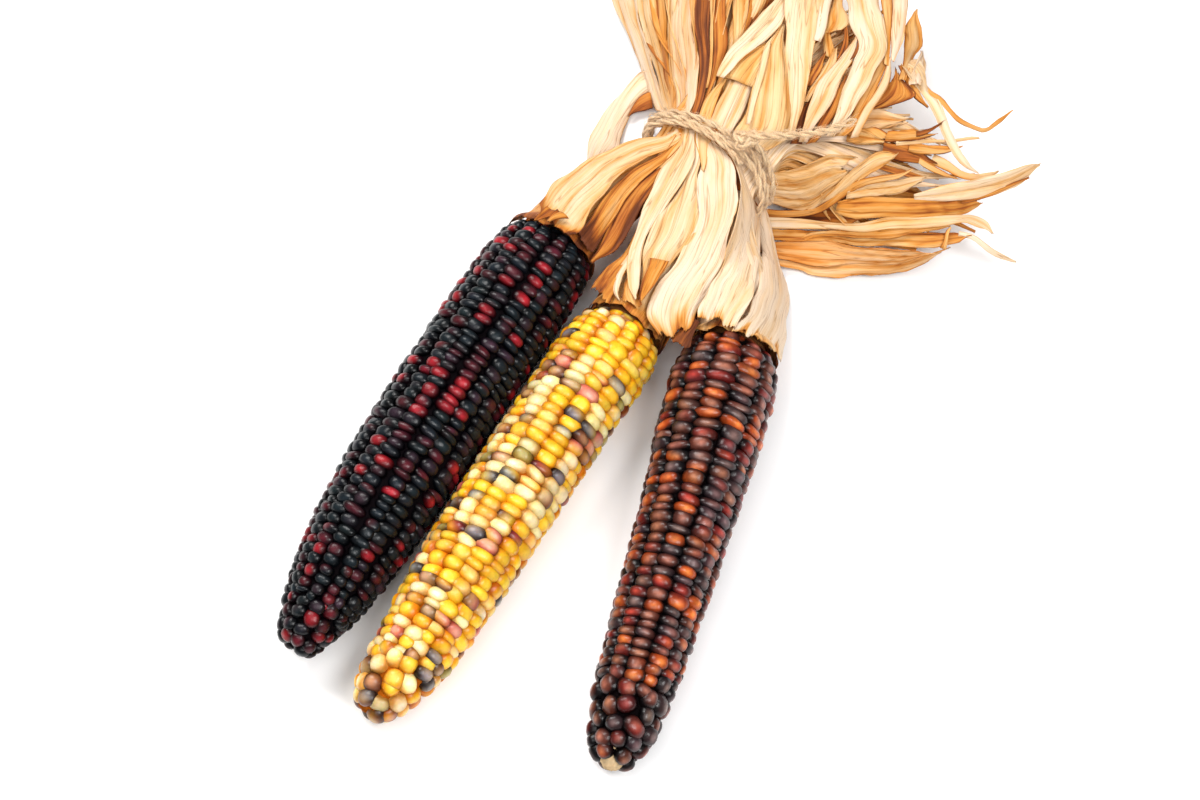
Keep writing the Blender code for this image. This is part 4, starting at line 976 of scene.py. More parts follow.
    ("middle_12", 0.42, 0.2, 0.4, 0.20, 1.00, 1.0, [(-12.8, 19.6, 30.3, -12.1, 19.8, 30.5), (-14.8, 26.7, 31.4, -13.7, 26.9, 31.7), (-17.3, 33.1, 32.9, -16.2, 33.4, 33.2), (-20.0, 38.9, 34.9, -18.9, 39.3, 35.0), (-22.6, 44.7, 36.8, -21.6, 45.1, 37.0), (-25.1, 50.1, 38.5, -24.1, 50.5, 38.6), (-27.4, 56.0, 39.9, -26.3, 56.4, 40.0), (-30.7, 65.0, 39.4, -29.8, 65.3, 39.5), (-33.2, 72.3, 39.0, -32.9, 72.5, 39.1)]),
    ("middle_12", 0.74, 0.1, 1.9, 1.00, 1.00, 1.0, [(-8.1, 0.4, 29.7, -6.3, 3.3, 29.4), (-10.3, 6.9, 29.7, -8.6, 7.6, 29.8), (-11.3, 13.7, 29.8, -10.3, 14.9, 30.1), (-12.2, 21.1, 30.2, -10.8, 22.2, 30.9), (-13.8, 27.3, 31.1, -11.3, 28.7, 32.1), (-16.0, 33.1, 32.5, -11.7, 35.0, 33.6), (-18.8, 39.0, 34.3, -13.9, 40.6, 35.2), (-21.4, 44.8, 36.2, -17.0, 46.5, 36.9), (-24.2, 50.9, 37.9, -19.8, 52.6, 38.4), (-26.8, 57.6, 38.9, -22.4, 59.4, 39.2), (-29.5, 65.4, 39.3, -25.7, 67.0, 39.5), (-34.0, 77.9, 38.4, -30.8, 79.2, 38.6), (-37.0, 88.4, 37.7, -35.7, 88.9, 37.8)]),
    ("middle_11", 0.42, 0.9, 1.0, 1.00, 1.00, 1.0, [(-7.1, 21.1, 30.5, -4.4, 22.2, 30.8), (-8.6, 29.8, 32.1, -5.5, 31.9, 32.5), (-10.4, 37.4, 33.8, -7.4, 39.6, 34.2), (-12.5, 43.7, 35.5, -8.5, 45.4, 35.9), (-15.3, 49.1, 37.0, -10.5, 50.8, 37.4), (-17.9, 53.8, 38.1, -12.8, 55.8, 38.5), (-21.2, 60.5, 38.7, -15.5, 63.0, 38.9), (-24.2, 67.2, 38.9, -18.5, 69.8, 38.9), (-28.2, 77.4, 37.8, -23.3, 79.7, 37.9), (-30.3, 86.3, 37.0, -28.4, 87.2, 37.0)]),
    ("middle_11", 0.68, -0.3, 2.0, 1.00, 1.00, 1.0, [(-7.1, 31.8, 32.9, -5.1, 32.7, 33.0), (-8.3, 38.9, 34.4, -5.7, 41.2, 34.2), (-8.8, 44.3, 36.0, -5.6, 48.0, 35.2), (-10.1, 50.0, 37.6, -4.5, 54.7, 35.5), (-12.4, 55.8, 38.7, -4.7, 62.6, 34.8), (-14.4, 62.3, 39.2, -5.2, 71.4, 33.7), (-16.0, 69.7, 39.3, -6.9, 79.2, 32.6), (-17.2, 78.8, 37.5, -9.3, 87.0, 31.8), (-16.4, 88.2, 34.8, -13.2, 91.5, 32.5)]),
    ("middle_11", 0.05, 0.1, 1.2, 1.00, 1.00, 1.0, [(-10.5, 23.0, 35.0, -7.3, 23.0, 35.7), (-10.7, 27.0, 36.1, -5.9, 26.8, 36.6), (-10.2, 32.8, 37.4, -4.0, 33.2, 37.3), (-8.6, 38.2, 38.8, -1.5, 39.4, 37.9), (-7.4, 44.3, 39.8, 1.1, 45.1, 38.4), (-5.8, 50.6, 40.3, 3.2, 51.2, 38.5), (-4.2, 57.1, 39.8, 2.4, 57.8, 38.0), (-3.5, 64.0, 38.5, 2.5, 64.3, 37.2), (-3.0, 71.6, 37.0, 3.3, 71.9, 36.6), (-1.6, 83.9, 35.4, 3.8, 84.2, 35.1), (0.8, 94.1, 34.0, 3.0, 94.2, 33.8)]),
    ("middle_11", 0.30, 1.0, 1.8, 1.00, 1.00, 1.0, [(-10.6, 24.3, 33.7, 4.0, 24.4, 34.4), (-9.6, 28.2, 34.9, 3.8, 28.4, 35.2), (-6.8, 32.5, 35.8, 2.5, 33.0, 35.9), (-3.3, 37.3, 36.4, 2.2, 38.4, 36.5), (0.3, 43.6, 36.9, 4.2, 43.7, 37.1), (1.5, 49.8, 37.6, 4.6, 50.1, 37.8)]),
    ("middle_11", 0.34, 0.9, 1.6, 1.00, 1.00, 1.0, [(-7.2, -0.1, 29.6, -4.3, 2.5, 29.2), (-9.4, 5.0, 30.1, -5.3, 7.2, 30.0), (-10.8, 9.9, 30.4, -5.8, 11.1, 30.7), (-11.6, 15.2, 30.6, -6.1, 16.1, 31.5), (-12.0, 20.5, 31.2, -6.0, 21.3, 32.3), (-11.2, 25.7, 32.1, -5.6, 25.7, 33.1)]),
    ("middle_11", 0.14, 0.0, 1.8, 1.00, 1.00, 1.0, [(-4.0, 1.7, 29.2, 2.6, 2.9, 29.1), (-5.2, 6.1, 30.3, 3.5, 8.9, 30.1), (-5.7, 10.7, 31.3, 4.0, 14.9, 31.2), (-5.9, 15.6, 32.2, 4.2, 19.7, 32.3), (-5.9, 20.8, 33.0, 3.9, 23.8, 33.2), (-6.1, 25.0, 33.7, 3.8, 26.6, 33.9)]),
    ("middle_11", 0.22, 0.8, 2.0, 0.70, 1.00, 1.0, [(4.3, 2.6, 29.5, 17.0, 4.2, 28.9), (5.3, 7.4, 30.8, 24.0, 13.6, 30.3), (5.7, 12.6, 32.3, 22.5, 17.5, 32.4), (4.8, 19.0, 33.7, 19.7, 22.6, 34.6), (3.8, 24.9, 34.9, 16.9, 28.0, 36.2), (2.6, 30.2, 35.9, 14.1, 32.7, 37.3), (1.3, 35.8, 36.6, 11.2, 38.2, 38.0), (0.6, 41.1, 37.1, 8.1, 43.7, 38.2), (0.2, 45.4, 37.5, 6.0, 48.4, 38.1), (0.3, 50.7, 38.2, 4.2, 54.7, 37.9)]),
    ("middle_11", 0.10, 0.4, 0.5, 0.30, 1.00, 1.0, [(7.5, 9.2, 34.1, 8.9, 9.7, 34.4), (5.5, 17.3, 35.0, 7.5, 17.1, 35.2), (4.0, 24.3, 36.0, 6.3, 24.3, 36.2), (2.5, 31.1, 37.1, 5.5, 31.3, 37.3), (1.2, 38.7, 37.8, 3.8, 39.8, 38.0), (0.8, 43.1, 38.2, 2.8, 43.0, 38.3)]),
    ("middle_11", 0.15, 0.3, 1.3, 0.60, 1.00, 1.0, [(23.0, 11.5, 33.9, 25.1, 12.2, 33.5), (21.5, 16.5, 35.8, 24.2, 18.5, 35.9), (19.7, 21.2, 37.6, 23.6, 24.1, 37.9), (17.1, 26.1, 39.0, 22.8, 28.5, 39.4), (13.9, 31.6, 40.1, 21.6, 33.9, 40.8), (10.5, 37.7, 40.8, 19.9, 40.3, 42.1), (7.0, 44.9, 41.0, 18.1, 47.0, 42.8), (3.2, 52.7, 40.7, 15.5, 56.2, 41.8), (-0.6, 60.9, 40.1, 13.1, 66.9, 39.0), (-3.7, 68.1, 39.9, 10.3, 79.4, 36.0), (-6.9, 76.3, 40.1, 7.2, 87.7, 34.0), (-9.7, 87.1, 38.2, 2.4, 96.9, 33.0), (-9.1, 98.1, 35.4, -4.3, 102.0, 33.4)]),
    ("middle_11", 0.06, 0.0, 0.7, 1.00, 1.00, 1.0, [(17.5, 46.5, 44.2, 19.9, 46.5, 44.3), (16.2, 51.6, 43.6, 19.6, 51.7, 44.1), (14.1, 58.6, 42.1, 18.3, 58.7, 42.8), (12.2, 66.2, 39.7, 16.1, 67.2, 39.7), (9.8, 76.4, 37.0, 13.3, 80.1, 35.9), (7.7, 85.5, 34.5, 11.1, 88.3, 33.0), (5.9, 93.7, 32.6, 8.8, 96.2, 31.2), (5.1, 101.1, 30.7, 6.3, 102.0, 30.1)]),
    ("right_11", 0.42, 0.5, 1.2, 1.00, 1.00, 1.0, [(18.1, 51.1, 42.2, 24.7, 55.8, 42.6), (17.2, 56.1, 41.1, 26.0, 60.4, 41.8), (16.5, 62.8, 39.4, 23.3, 65.3, 40.2), (15.7, 69.6, 36.0, 19.2, 70.7, 36.5), (13.1, 81.0, 30.8, 16.1, 82.5, 30.7), (10.5, 92.7, 28.1, 13.1, 94.0, 27.9), (8.9, 102.6, 25.8, 10.0, 103.1, 25.7)]),
    ("right_11", 0.36, 0.8, 1.2, 1.00, 1.00, 1.0, [(22.4, 44.8, 40.4, 27.7, 43.6, 40.3), (19.2, 49.5, 40.8, 26.2, 50.7, 41.0), (17.5, 53.7, 40.9, 23.7, 56.6, 41.6)]),
    ("right_11", 0.84, 0.0, 1.2, 1.00, 1.00, 1.0, [(27.4, 41.5, 40.3, 29.1, 42.1, 40.6), (27.2, 46.4, 41.1, 29.9, 47.5, 41.3), (26.0, 52.1, 41.7, 29.3, 53.6, 41.7), (23.3, 56.5, 42.1, 27.4, 60.0, 41.9)]),
    ("right_12", 0.13, 0.2, 1.4, 0.70, 1.00, 1.0, [(35.9, 15.8, 35.6, 38.8, 16.3, 36.2), (36.3, 20.0, 37.7, 39.3, 20.9, 38.4), (35.9, 24.3, 39.5, 41.1, 24.7, 40.3), (34.8, 28.3, 41.0, 42.0, 28.7, 41.8), (34.4, 31.9, 42.3, 42.5, 31.8, 43.2), (34.4, 36.3, 43.3, 43.1, 35.8, 44.4), (34.2, 40.5, 44.0, 43.1, 40.1, 45.2), (34.2, 45.0, 44.4, 42.9, 45.3, 45.3), (34.3, 49.5, 44.7, 42.8, 50.7, 44.9), (32.5, 52.8, 44.9, 41.9, 55.7, 44.6), (29.0, 55.5, 44.8, 39.9, 60.5, 44.4), (25.8, 59.4, 44.2, 37.2, 65.2, 44.1), (22.7, 65.2, 42.5, 34.6, 69.5, 42.8), (19.3, 72.0, 39.3, 31.3, 77.5, 39.4), (14.2, 83.7, 35.6, 27.0, 88.1, 32.1), (11.0, 90.4, 32.8, 17.6, 113.2, 8.0), (7.5, 102.1, 27.4, 13.1, 121.7, 6.1), (5.9, 116.3, 18.0, 8.1, 124.1, 9.5)]),
    ("right_12", 0.95, 0.0, 0.3, 0.30, 1.00, 1.0, [(32.5, 44.6, 43.3, 33.5, 45.8, 43.5), (32.3, 49.8, 43.7, 34.1, 50.1, 43.8), (30.6, 54.6, 44.0, 32.4, 54.1, 44.0)]),
    ("right_12", 0.16, -0.6, 1.0, 0.60, 1.00, 1.0, [(27.0, 11.8, 31.4, 30.3, 13.1, 31.8), (26.8, 14.6, 33.3, 30.3, 15.5, 33.7), (26.4, 18.8, 35.0, 30.8, 19.6, 35.6), (25.7, 23.0, 36.7, 32.1, 24.4, 37.6), (25.4, 28.1, 38.3, 33.0, 29.4, 39.4), (25.7, 33.5, 39.8, 32.5, 33.8, 40.9), (27.3, 38.9, 41.1, 32.2, 39.2, 41.9), (28.8, 44.4, 42.3, 33.1, 45.1, 42.7), (29.7, 51.3, 43.1, 32.5, 51.2, 43.2), (29.4, 55.9, 43.5, 31.5, 55.4, 43.5)]),
    ("right_11", 0.72, 0.1, 0.9, 1.00, 1.00, 1.0, [(21.2, 30.6, 38.3, 23.5, 31.5, 38.6), (20.7, 34.4, 39.2, 24.0, 34.9, 39.5), (21.1, 37.8, 40.2, 24.5, 38.2, 40.3), (21.6, 41.1, 41.1, 24.9, 41.6, 41.2), (22.4, 45.5, 42.1, 24.6, 45.1, 42.0)]),
    ("right_11", 0.30, 0.1, 1.2, 1.00, 1.00, 1.0, [(22.9, 25.0, 36.7, 24.6, 25.7, 36.7), (23.1, 29.1, 37.6, 25.4, 30.0, 37.9), (23.5, 33.4, 38.7, 26.9, 34.5, 39.2), (24.4, 38.5, 39.9, 28.4, 39.9, 40.4), (24.6, 44.2, 41.1, 28.9, 44.2, 41.3), (24.4, 48.4, 42.1, 28.0, 49.0, 42.2)]),
    ("right_11", 0.90, 0.1, 1.3, 1.00, 1.00, 2.0, [(24.3, 10.9, 29.6, 28.2, 12.8, 29.4), (23.9, 14.3, 31.1, 27.9, 16.0, 31.3), (23.5, 17.9, 32.5, 27.5, 20.3, 33.0), (22.9, 21.7, 33.9, 26.8, 24.5, 34.6), (23.0, 25.9, 35.3, 26.4, 28.8, 36.0), (23.5, 31.0, 36.5, 26.2, 32.8, 37.1)]),
    ("right_11", 0.72, 0.1, 1.2, 1.00, 1.00, 1.0, [(29.7, 12.9, 30.2, 32.8, 14.5, 31.4), (30.6, 16.0, 32.3, 34.5, 17.5, 33.5), (30.7, 20.0, 34.2, 34.9, 21.9, 35.4), (31.3, 24.6, 36.1, 35.8, 25.9, 37.2), (31.8, 29.5, 37.9, 35.3, 30.5, 38.8), (31.9, 34.6, 39.4, 34.8, 35.0, 40.1), (32.1, 39.7, 40.5, 34.6, 40.0, 41.1)]),
    ("right_11", 0.36, 0.0, 0.8, 1.00, 1.00, 1.0, [(44.4, 47.8, 43.8, 46.4, 47.6, 44.1), (42.0, 53.9, 43.3, 43.9, 55.0, 43.3), (40.0, 59.7, 42.9, 41.9, 60.8, 42.8), (36.9, 66.2, 42.2, 39.5, 67.5, 42.1), (33.2, 73.7, 40.5, 37.0, 75.1, 40.5), (29.9, 81.2, 36.9, 33.9, 83.2, 36.8), (24.8, 94.4, 30.9, 28.5, 96.2, 30.7), (20.3, 106.7, 28.1, 23.5, 108.2, 28.0), (17.3, 117.1, 25.8, 18.6, 117.7, 25.8)]),
    ("right_11", 0.38, 0.2, 1.1, 1.00, 1.00, 1.0, [(38.3, 17.7, 34.5, 42.4, 18.9, 35.5), (40.1, 22.1, 36.6, 44.3, 22.3, 37.3), (41.3, 26.5, 38.5, 44.9, 27.0, 39.0), (41.2, 30.9, 40.3, 45.5, 31.7, 40.7), (41.2, 36.2, 41.7, 45.6, 36.7, 42.1), (41.7, 43.2, 42.4, 45.5, 43.2, 42.7), (42.0, 51.2, 42.4, 44.9, 51.7, 42.4), (41.8, 56.5, 42.0, 44.0, 56.9, 41.7)]),
    ("right_11", 0.20, -0.3, 1.0, 1.00, 1.00, 1.0, [(44.1, 18.3, 36.2, 46.7, 19.5, 36.9), (44.2, 23.2, 38.5, 46.9, 24.1, 39.0), (44.4, 28.8, 40.6, 47.4, 29.9, 41.0), (45.5, 34.1, 42.4, 48.8, 35.4, 42.7), (45.8, 39.7, 43.6, 49.4, 40.4, 43.7), (45.5, 46.0, 43.7, 48.1, 46.1, 43.7), (44.3, 52.1, 43.0, 46.3, 52.8, 42.7)]),
    ("right_11", 0.03, -0.4, 0.9, 1.00, 1.00, 1.0, [(45.8, 51.3, 42.6, 47.1, 50.9, 42.7), (43.8, 56.3, 42.4, 46.4, 60.1, 41.5), (40.5, 63.4, 42.0, 45.0, 67.0, 41.0), (37.7, 71.2, 40.6, 42.6, 74.7, 40.4), (34.1, 81.7, 37.0, 39.7, 84.5, 38.9), (30.4, 93.6, 31.4, 36.4, 92.0, 37.0), (26.6, 104.9, 29.4, 31.8, 103.6, 34.2), (24.8, 113.9, 28.9, 26.9, 113.4, 30.7)]),
    ("right_11", 0.42, 0.4, 1.3, 1.00, 1.00, 0.9, [(51.3, 44.7, 42.1, 53.9, 46.1, 41.8), (50.1, 51.0, 39.6, 51.5, 58.8, 34.4), (48.2, 59.6, 37.7, 50.8, 64.5, 30.8), (47.1, 62.9, 37.4, 51.9, 69.6, 31.1), (45.8, 66.5, 38.4, 50.7, 72.4, 33.7), (43.7, 70.7, 39.1, 48.8, 75.1, 36.6), (43.7, 77.5, 39.1, 46.7, 79.1, 38.9)]),
    ("right_11", 0.03, -0.3, 0.8, 1.00, 1.00, 2.5, [(55.8, 44.1, 41.9, 59.4, 47.0, 41.6), (54.5, 49.2, 39.0, 56.8, 61.3, 32.4), (50.9, 62.2, 34.8, 55.1, 66.3, 28.4), (50.0, 64.9, 32.0, 53.1, 69.9, 28.6)]),
    ("right_11", 0.74, 0.0, 2.0, 1.00, 1.00, 3.0, [(44.0, 29.5, 37.4, 50.7, 33.6, 38.8), (45.9, 34.8, 39.1, 58.4, 41.4, 39.4), (47.0, 40.3, 40.3, 57.8, 44.5, 39.9), (47.4, 44.9, 40.5, 54.5, 47.7, 39.7), (46.5, 50.3, 39.8, 49.8, 52.1, 38.8)]),
    ("right_11", 0.68, 0.1, 0.7, 1.00, 1.00, 1.0, [(48.6, 51.8, 39.8, 50.1, 54.8, 36.7), (53.5, 46.2, 40.5, 55.6, 47.9, 39.2), (56.9, 42.8, 40.4, 59.0, 45.2, 40.0), (60.2, 40.7, 39.7, 62.8, 43.0, 39.4), (63.8, 39.7, 38.8, 66.7, 41.3, 38.5)]),
    ("right_12", 0.50, 0.1, 0.3, 0.30, 1.00, 1.0, [(54.0, 56.3, 30.5, 54.2, 60.7, 26.7), (61.8, 47.0, 37.5, 62.6, 48.8, 37.5), (67.1, 44.7, 38.8, 68.0, 46.5, 38.9), (72.1, 42.3, 37.6, 73.0, 44.0, 37.8), (76.7, 41.0, 35.5, 77.4, 43.0, 35.8), (82.8, 42.4, 32.9, 82.9, 44.0, 33.4), (86.8, 44.8, 30.8, 86.3, 46.0, 31.7), (90.2, 51.6, 30.3, 88.8, 51.5, 31.6), (93.0, 57.2, 31.4, 91.8, 57.0, 32.9)]),
    ("right_12", 0.10, 0.1, 0.8, 1.00, 1.00, 1.0, [(49.3, 52.0, 40.0, 49.9, 57.9, 33.5), (55.5, 47.0, 40.6, 55.1, 59.5, 34.1), (60.2, 44.3, 40.3, 62.8, 47.5, 37.4), (64.5, 41.5, 39.2, 67.5, 44.9, 38.8), (68.5, 38.7, 37.8, 71.3, 41.4, 37.6), (72.4, 35.3, 35.9, 75.0, 37.6, 35.8), (76.2, 32.3, 34.0, 78.2, 35.0, 34.0), (81.2, 29.0, 32.5, 82.5, 31.4, 32.6), (85.9, 27.2, 31.3, 86.9, 29.4, 31.6), (90.7, 26.9, 30.3, 91.5, 28.8, 30.7)]),
    ("right_12", 0.30, 0.2, 0.3, 0.30, 1.00, 1.0, [(60.1, 23.3, 34.4, 59.4, 24.7, 35.3), (65.0, 26.4, 34.2, 64.3, 27.8, 35.0), (71.2, 30.3, 33.7, 70.7, 31.4, 34.4), (77.5, 34.1, 32.8, 77.1, 35.1, 33.2), (82.9, 38.6, 31.7, 82.4, 39.7, 31.8), (85.8, 41.4, 30.3, 85.5, 42.1, 30.4)]),
    ("right_12", 0.55, 0.1, 0.4, 1.00, 1.00, 1.0, [(70.3, 26.2, 32.4, 69.2, 28.6, 33.5), (75.3, 28.3, 32.1, 74.5, 31.1, 32.9), (79.2, 31.2, 31.9, 78.5, 32.9, 32.3), (82.3, 34.1, 31.7, 81.4, 35.4, 31.9)]),
    ("right_12", 0.30, 0.1, 0.6, 1.00, 1.00, 1.0, [(73.5, 23.6, 30.9, 73.3, 27.6, 31.7), (79.5, 24.1, 30.1, 78.7, 27.8, 30.9), (85.2, 23.7, 29.3, 84.9, 26.3, 30.1), (91.4, 25.9, 28.7, 90.5, 27.9, 29.5), (95.9, 30.0, 28.7, 94.6, 31.3, 29.3), (97.3, 32.3, 28.9, 96.1, 33.4, 29.2)]),
    ("right_12", 0.24, -0.3, 1.6, 1.00, 1.00, 3.0, [(42.4, 22.9, 33.9, 42.8, 29.0, 36.2), (48.5, 24.9, 34.8, 46.5, 32.9, 37.3), (53.8, 26.9, 35.5, 52.0, 36.3, 38.0), (58.9, 29.6, 36.0, 56.5, 38.5, 38.1), (61.4, 32.8, 36.4, 60.7, 39.0, 37.7)]),
    ("right_12", 0.44, 0.6, 1.6, 1.00, 1.00, 4.5, [(42.9, 18.2, 32.9, 41.6, 22.6, 35.1), (48.8, 18.8, 33.2, 47.0, 24.4, 36.0), (53.9, 19.7, 33.4, 52.2, 26.7, 36.7), (58.8, 21.0, 33.5, 57.1, 27.9, 36.8), (63.2, 23.4, 33.6, 61.1, 27.9, 36.5)]),
    ("right_12", 0.60, 0.2, 1.4, 1.00, 1.00, 4.5, [(55.7, 22.4, 34.8, 55.3, 26.8, 36.9), (60.3, 24.4, 34.8, 59.7, 29.1, 37.0), (64.8, 26.7, 34.7, 63.6, 31.9, 36.8), (68.4, 29.4, 34.7, 68.4, 32.9, 36.3), (71.7, 32.7, 34.7, 72.0, 35.4, 35.7)]),
    ("right_13", 0.28, 0.2, 3.0, 1.00, 1.00, 3.5, [(20.2, -8.7, 17.0, 18.4, -4.0, 25.5), (24.0, -3.5, 10.2, 21.7, 0.8, 23.4), (29.6, -1.3, 6.6, 25.9, 5.6, 23.0), (34.6, -0.2, 7.1, 30.5, 8.3, 24.6), (38.9, 0.2, 10.7, 35.4, 11.1, 27.2), (42.3, 0.7, 16.0, 39.4, 13.9, 29.8), (45.4, 3.1, 21.7, 45.5, 14.2, 31.4), (48.4, 8.0, 27.0, 50.3, 15.4, 32.4)]),
    ("right_13", 0.28, 0.2, 1.6, 1.00, 1.00, 2.5, [(41.8, -0.0, 14.9, 42.5, 1.3, 19.1), (46.3, 1.0, 20.8, 44.9, 3.8, 24.2), (50.2, 4.1, 25.5, 48.0, 8.7, 28.8), (53.7, 8.0, 29.1, 51.1, 13.4, 32.2), (57.4, 11.3, 31.7, 55.1, 18.3, 34.4), (60.5, 14.8, 33.4, 60.6, 21.7, 35.3), (61.7, 19.3, 34.6, 62.5, 22.6, 35.6)]),
    ("right_13", 0.55, 0.1, 0.9, 1.00, 1.00, 1.0, [(22.9, -8.3, 7.0, 22.2, -7.0, 10.3), (27.7, -6.0, 5.7, 26.7, -3.7, 7.5), (35.8, -3.0, 7.3, 34.8, -0.8, 8.6), (42.0, -1.8, 12.3, 40.5, -0.2, 13.7), (46.5, -1.0, 18.7, 44.7, 1.1, 20.3), (50.6, 3.1, 24.3, 48.9, 5.2, 25.8), (55.2, 6.5, 28.2, 53.5, 8.3, 29.6), (60.7, 9.4, 30.7, 59.1, 11.0, 31.9), (66.2, 12.6, 32.3, 64.7, 14.1, 33.2), (69.9, 16.5, 33.3, 68.1, 18.1, 33.9)]),
    ("right_13", 0.24, -0.2, 1.8, 1.00, 1.00, 3.5, [(50.7, 1.4, 23.4, 50.1, 4.4, 25.4), (55.9, 3.5, 25.0, 55.4, 7.8, 28.2), (61.8, 5.8, 26.4, 61.1, 10.3, 30.4), (68.2, 8.9, 27.7, 66.6, 13.6, 31.7), (73.7, 12.2, 29.1, 71.1, 17.7, 32.2), (76.9, 16.1, 30.6, 74.8, 19.9, 32.4)]),
    ("right_13", 0.84, 0.0, 2.0, 1.00, 1.00, 3.0, [(25.4, -8.2, 3.7, 24.1, -5.5, 6.5), (30.6, -5.2, 3.5, 29.0, -1.6, 5.6), (36.8, -3.0, 4.9, 35.3, 0.1, 7.6), (43.7, -3.1, 8.6, 41.9, 0.1, 12.4), (50.6, -4.0, 13.4, 47.5, 0.5, 17.1), (55.5, -3.3, 17.2, 52.8, -0.9, 19.4), (59.4, -1.7, 19.4, 58.2, -0.8, 20.0)]),
    ("right_13", 0.50, 0.9, 2.6, 1.10, 1.00, 4.5, [(48.8, -2.3, 17.8, 48.0, 0.8, 21.6), (55.9, -3.0, 19.7, 53.6, 3.7, 24.0), (62.6, -0.5, 21.0, 60.3, 5.8, 25.9), (71.0, 3.4, 21.5, 68.8, 9.4, 26.9), (80.1, 8.0, 21.4, 77.9, 13.7, 26.9), (87.5, 12.7, 20.9, 86.2, 18.3, 26.0), (94.5, 16.8, 20.6, 92.7, 22.0, 24.5), (96.8, 20.6, 20.5, 95.5, 23.0, 22.9)]),
    ("right_13", 0.14, -0.1, 1.6, 1.00, 1.00, 1.0, [(73.4, 9.8, 26.5, 72.6, 11.1, 28.2), (79.4, 12.1, 26.4, 78.6, 15.0, 30.1), (88.0, 15.7, 26.7, 86.2, 20.3, 32.3), (95.5, 19.7, 27.7, 93.3, 24.9, 34.6), (101.5, 25.1, 28.6, 99.5, 29.3, 35.7), (106.6, 31.8, 27.4, 104.6, 36.8, 33.6), (109.8, 41.4, 24.1, 108.5, 43.2, 28.8)]),
    ("right_13", 0.72, 0.0, 0.4, 0.30, 1.00, 1.0, [(89.5, 16.0, 25.8, 88.3, 16.6, 26.9), (95.4, 19.7, 28.0, 94.3, 20.4, 29.2), (100.4, 23.7, 29.7, 99.1, 24.4, 31.1), (104.5, 28.8, 30.1, 103.5, 28.6, 31.5), (108.0, 34.2, 29.4, 107.8, 34.6, 30.0)]),
    ("middle_13", 0.20, 0.0, 1.3, 1.00, 1.00, 1.0, [(22.9, -13.8, 6.9, 21.8, -10.6, 9.8), (27.8, -10.7, 5.2, 26.2, -7.1, 6.6), (37.7, -7.0, 6.6, 36.2, -3.6, 7.8), (48.3, -5.4, 11.4, 47.4, -3.6, 13.2), (59.3, -5.3, 16.8, 58.0, -2.6, 18.8), (69.3, -1.5, 19.7, 67.6, 2.2, 21.7), (78.9, 3.4, 20.5, 77.3, 6.9, 22.2), (86.4, 7.8, 20.6, 86.1, 12.0, 21.7), (92.3, 12.4, 20.4, 93.9, 16.2, 21.0), (98.4, 12.7, 19.7, 99.6, 16.4, 20.2), (103.0, 11.5, 18.4, 103.9, 13.6, 19.3)]),
    ("middle_13", 0.50, 0.1, 0.8, 1.00, 1.00, 2.5, [(39.5, -11.3, 4.2, 38.7, -8.4, 4.2), (44.5, -8.2, 6.6, 43.4, -5.9, 7.6), (51.4, -6.9, 10.6, 50.5, -5.3, 12.4), (60.9, -6.6, 15.1, 59.8, -4.6, 17.0), (69.7, -4.0, 18.1, 68.4, -1.1, 19.4), (77.1, 0.5, 19.3, 76.1, 2.9, 20.0), (85.0, 5.9, 19.6, 84.2, 7.7, 20.0), (88.6, 8.5, 19.7, 88.4, 9.7, 19.9)]),
    ("middle_13", 0.50, 0.1, 2.2, 1.20, 1.00, 3.0, [(24.7, -17.8, 5.7, 23.3, -13.6, 5.5), (29.6, -14.8, 3.7, 27.6, -10.2, 3.8), (39.3, -10.7, 4.0, 37.5, -6.4, 5.1), (49.7, -7.6, 7.1, 48.3, -5.0, 9.8), (60.9, -7.8, 11.5, 59.4, -5.0, 14.9), (71.2, -5.2, 14.8, 69.3, -1.1, 17.7), (78.9, -3.1, 16.2, 76.5, 2.3, 18.4), (86.0, 0.3, 16.6, 84.3, 6.0, 18.3), (92.5, 5.3, 17.0, 90.8, 9.1, 18.2), (96.9, 9.6, 17.5, 96.3, 10.9, 18.0)]),
    ("middle_13", 0.10, 0.1, 0.4, 0.30, 1.00, 1.0, [(92.2, 7.6, 18.0, 91.8, 9.5, 18.4), (97.2, 9.0, 16.7, 97.0, 11.1, 17.5), (101.5, 8.5, 14.6, 102.1, 10.6, 15.8), (106.5, 8.7, 12.2, 106.7, 10.5, 13.6), (111.6, 10.1, 10.2, 111.8, 11.2, 11.4), (114.4, 11.3, 9.1, 114.4, 11.8, 9.7)]),
    ("middle_13", 0.42, 0.4, 0.3, 1.00, 1.00, 1.0, [(90.3, 1.1, 16.8, 88.1, 0.6, 17.5), (89.7, 3.9, 18.6, 88.4, 3.2, 18.9), (89.2, 6.7, 19.7, 87.8, 6.5, 19.8), (89.1, 8.8, 20.3, 88.5, 8.5, 20.3)]),
    ("middle_13", 0.40, -0.6, 3.0, 1.30, 1.00, 3.5, [(28.1, -24.3, 9.7, 25.4, -17.4, 5.6), (33.8, -21.9, 5.4, 30.0, -14.9, 4.0), (42.7, -18.6, 3.3, 39.2, -10.5, 4.2), (51.9, -16.2, 3.4, 48.8, -7.3, 7.0), (59.6, -12.0, 4.8, 59.4, -7.8, 11.2), (67.1, -10.3, 7.0, 67.9, -6.4, 14.5), (74.1, -8.5, 9.3, 75.5, -4.2, 15.8), (79.8, -6.0, 11.5, 82.4, -2.0, 15.9), (84.5, -2.8, 13.7, 87.7, 0.3, 15.4)]),
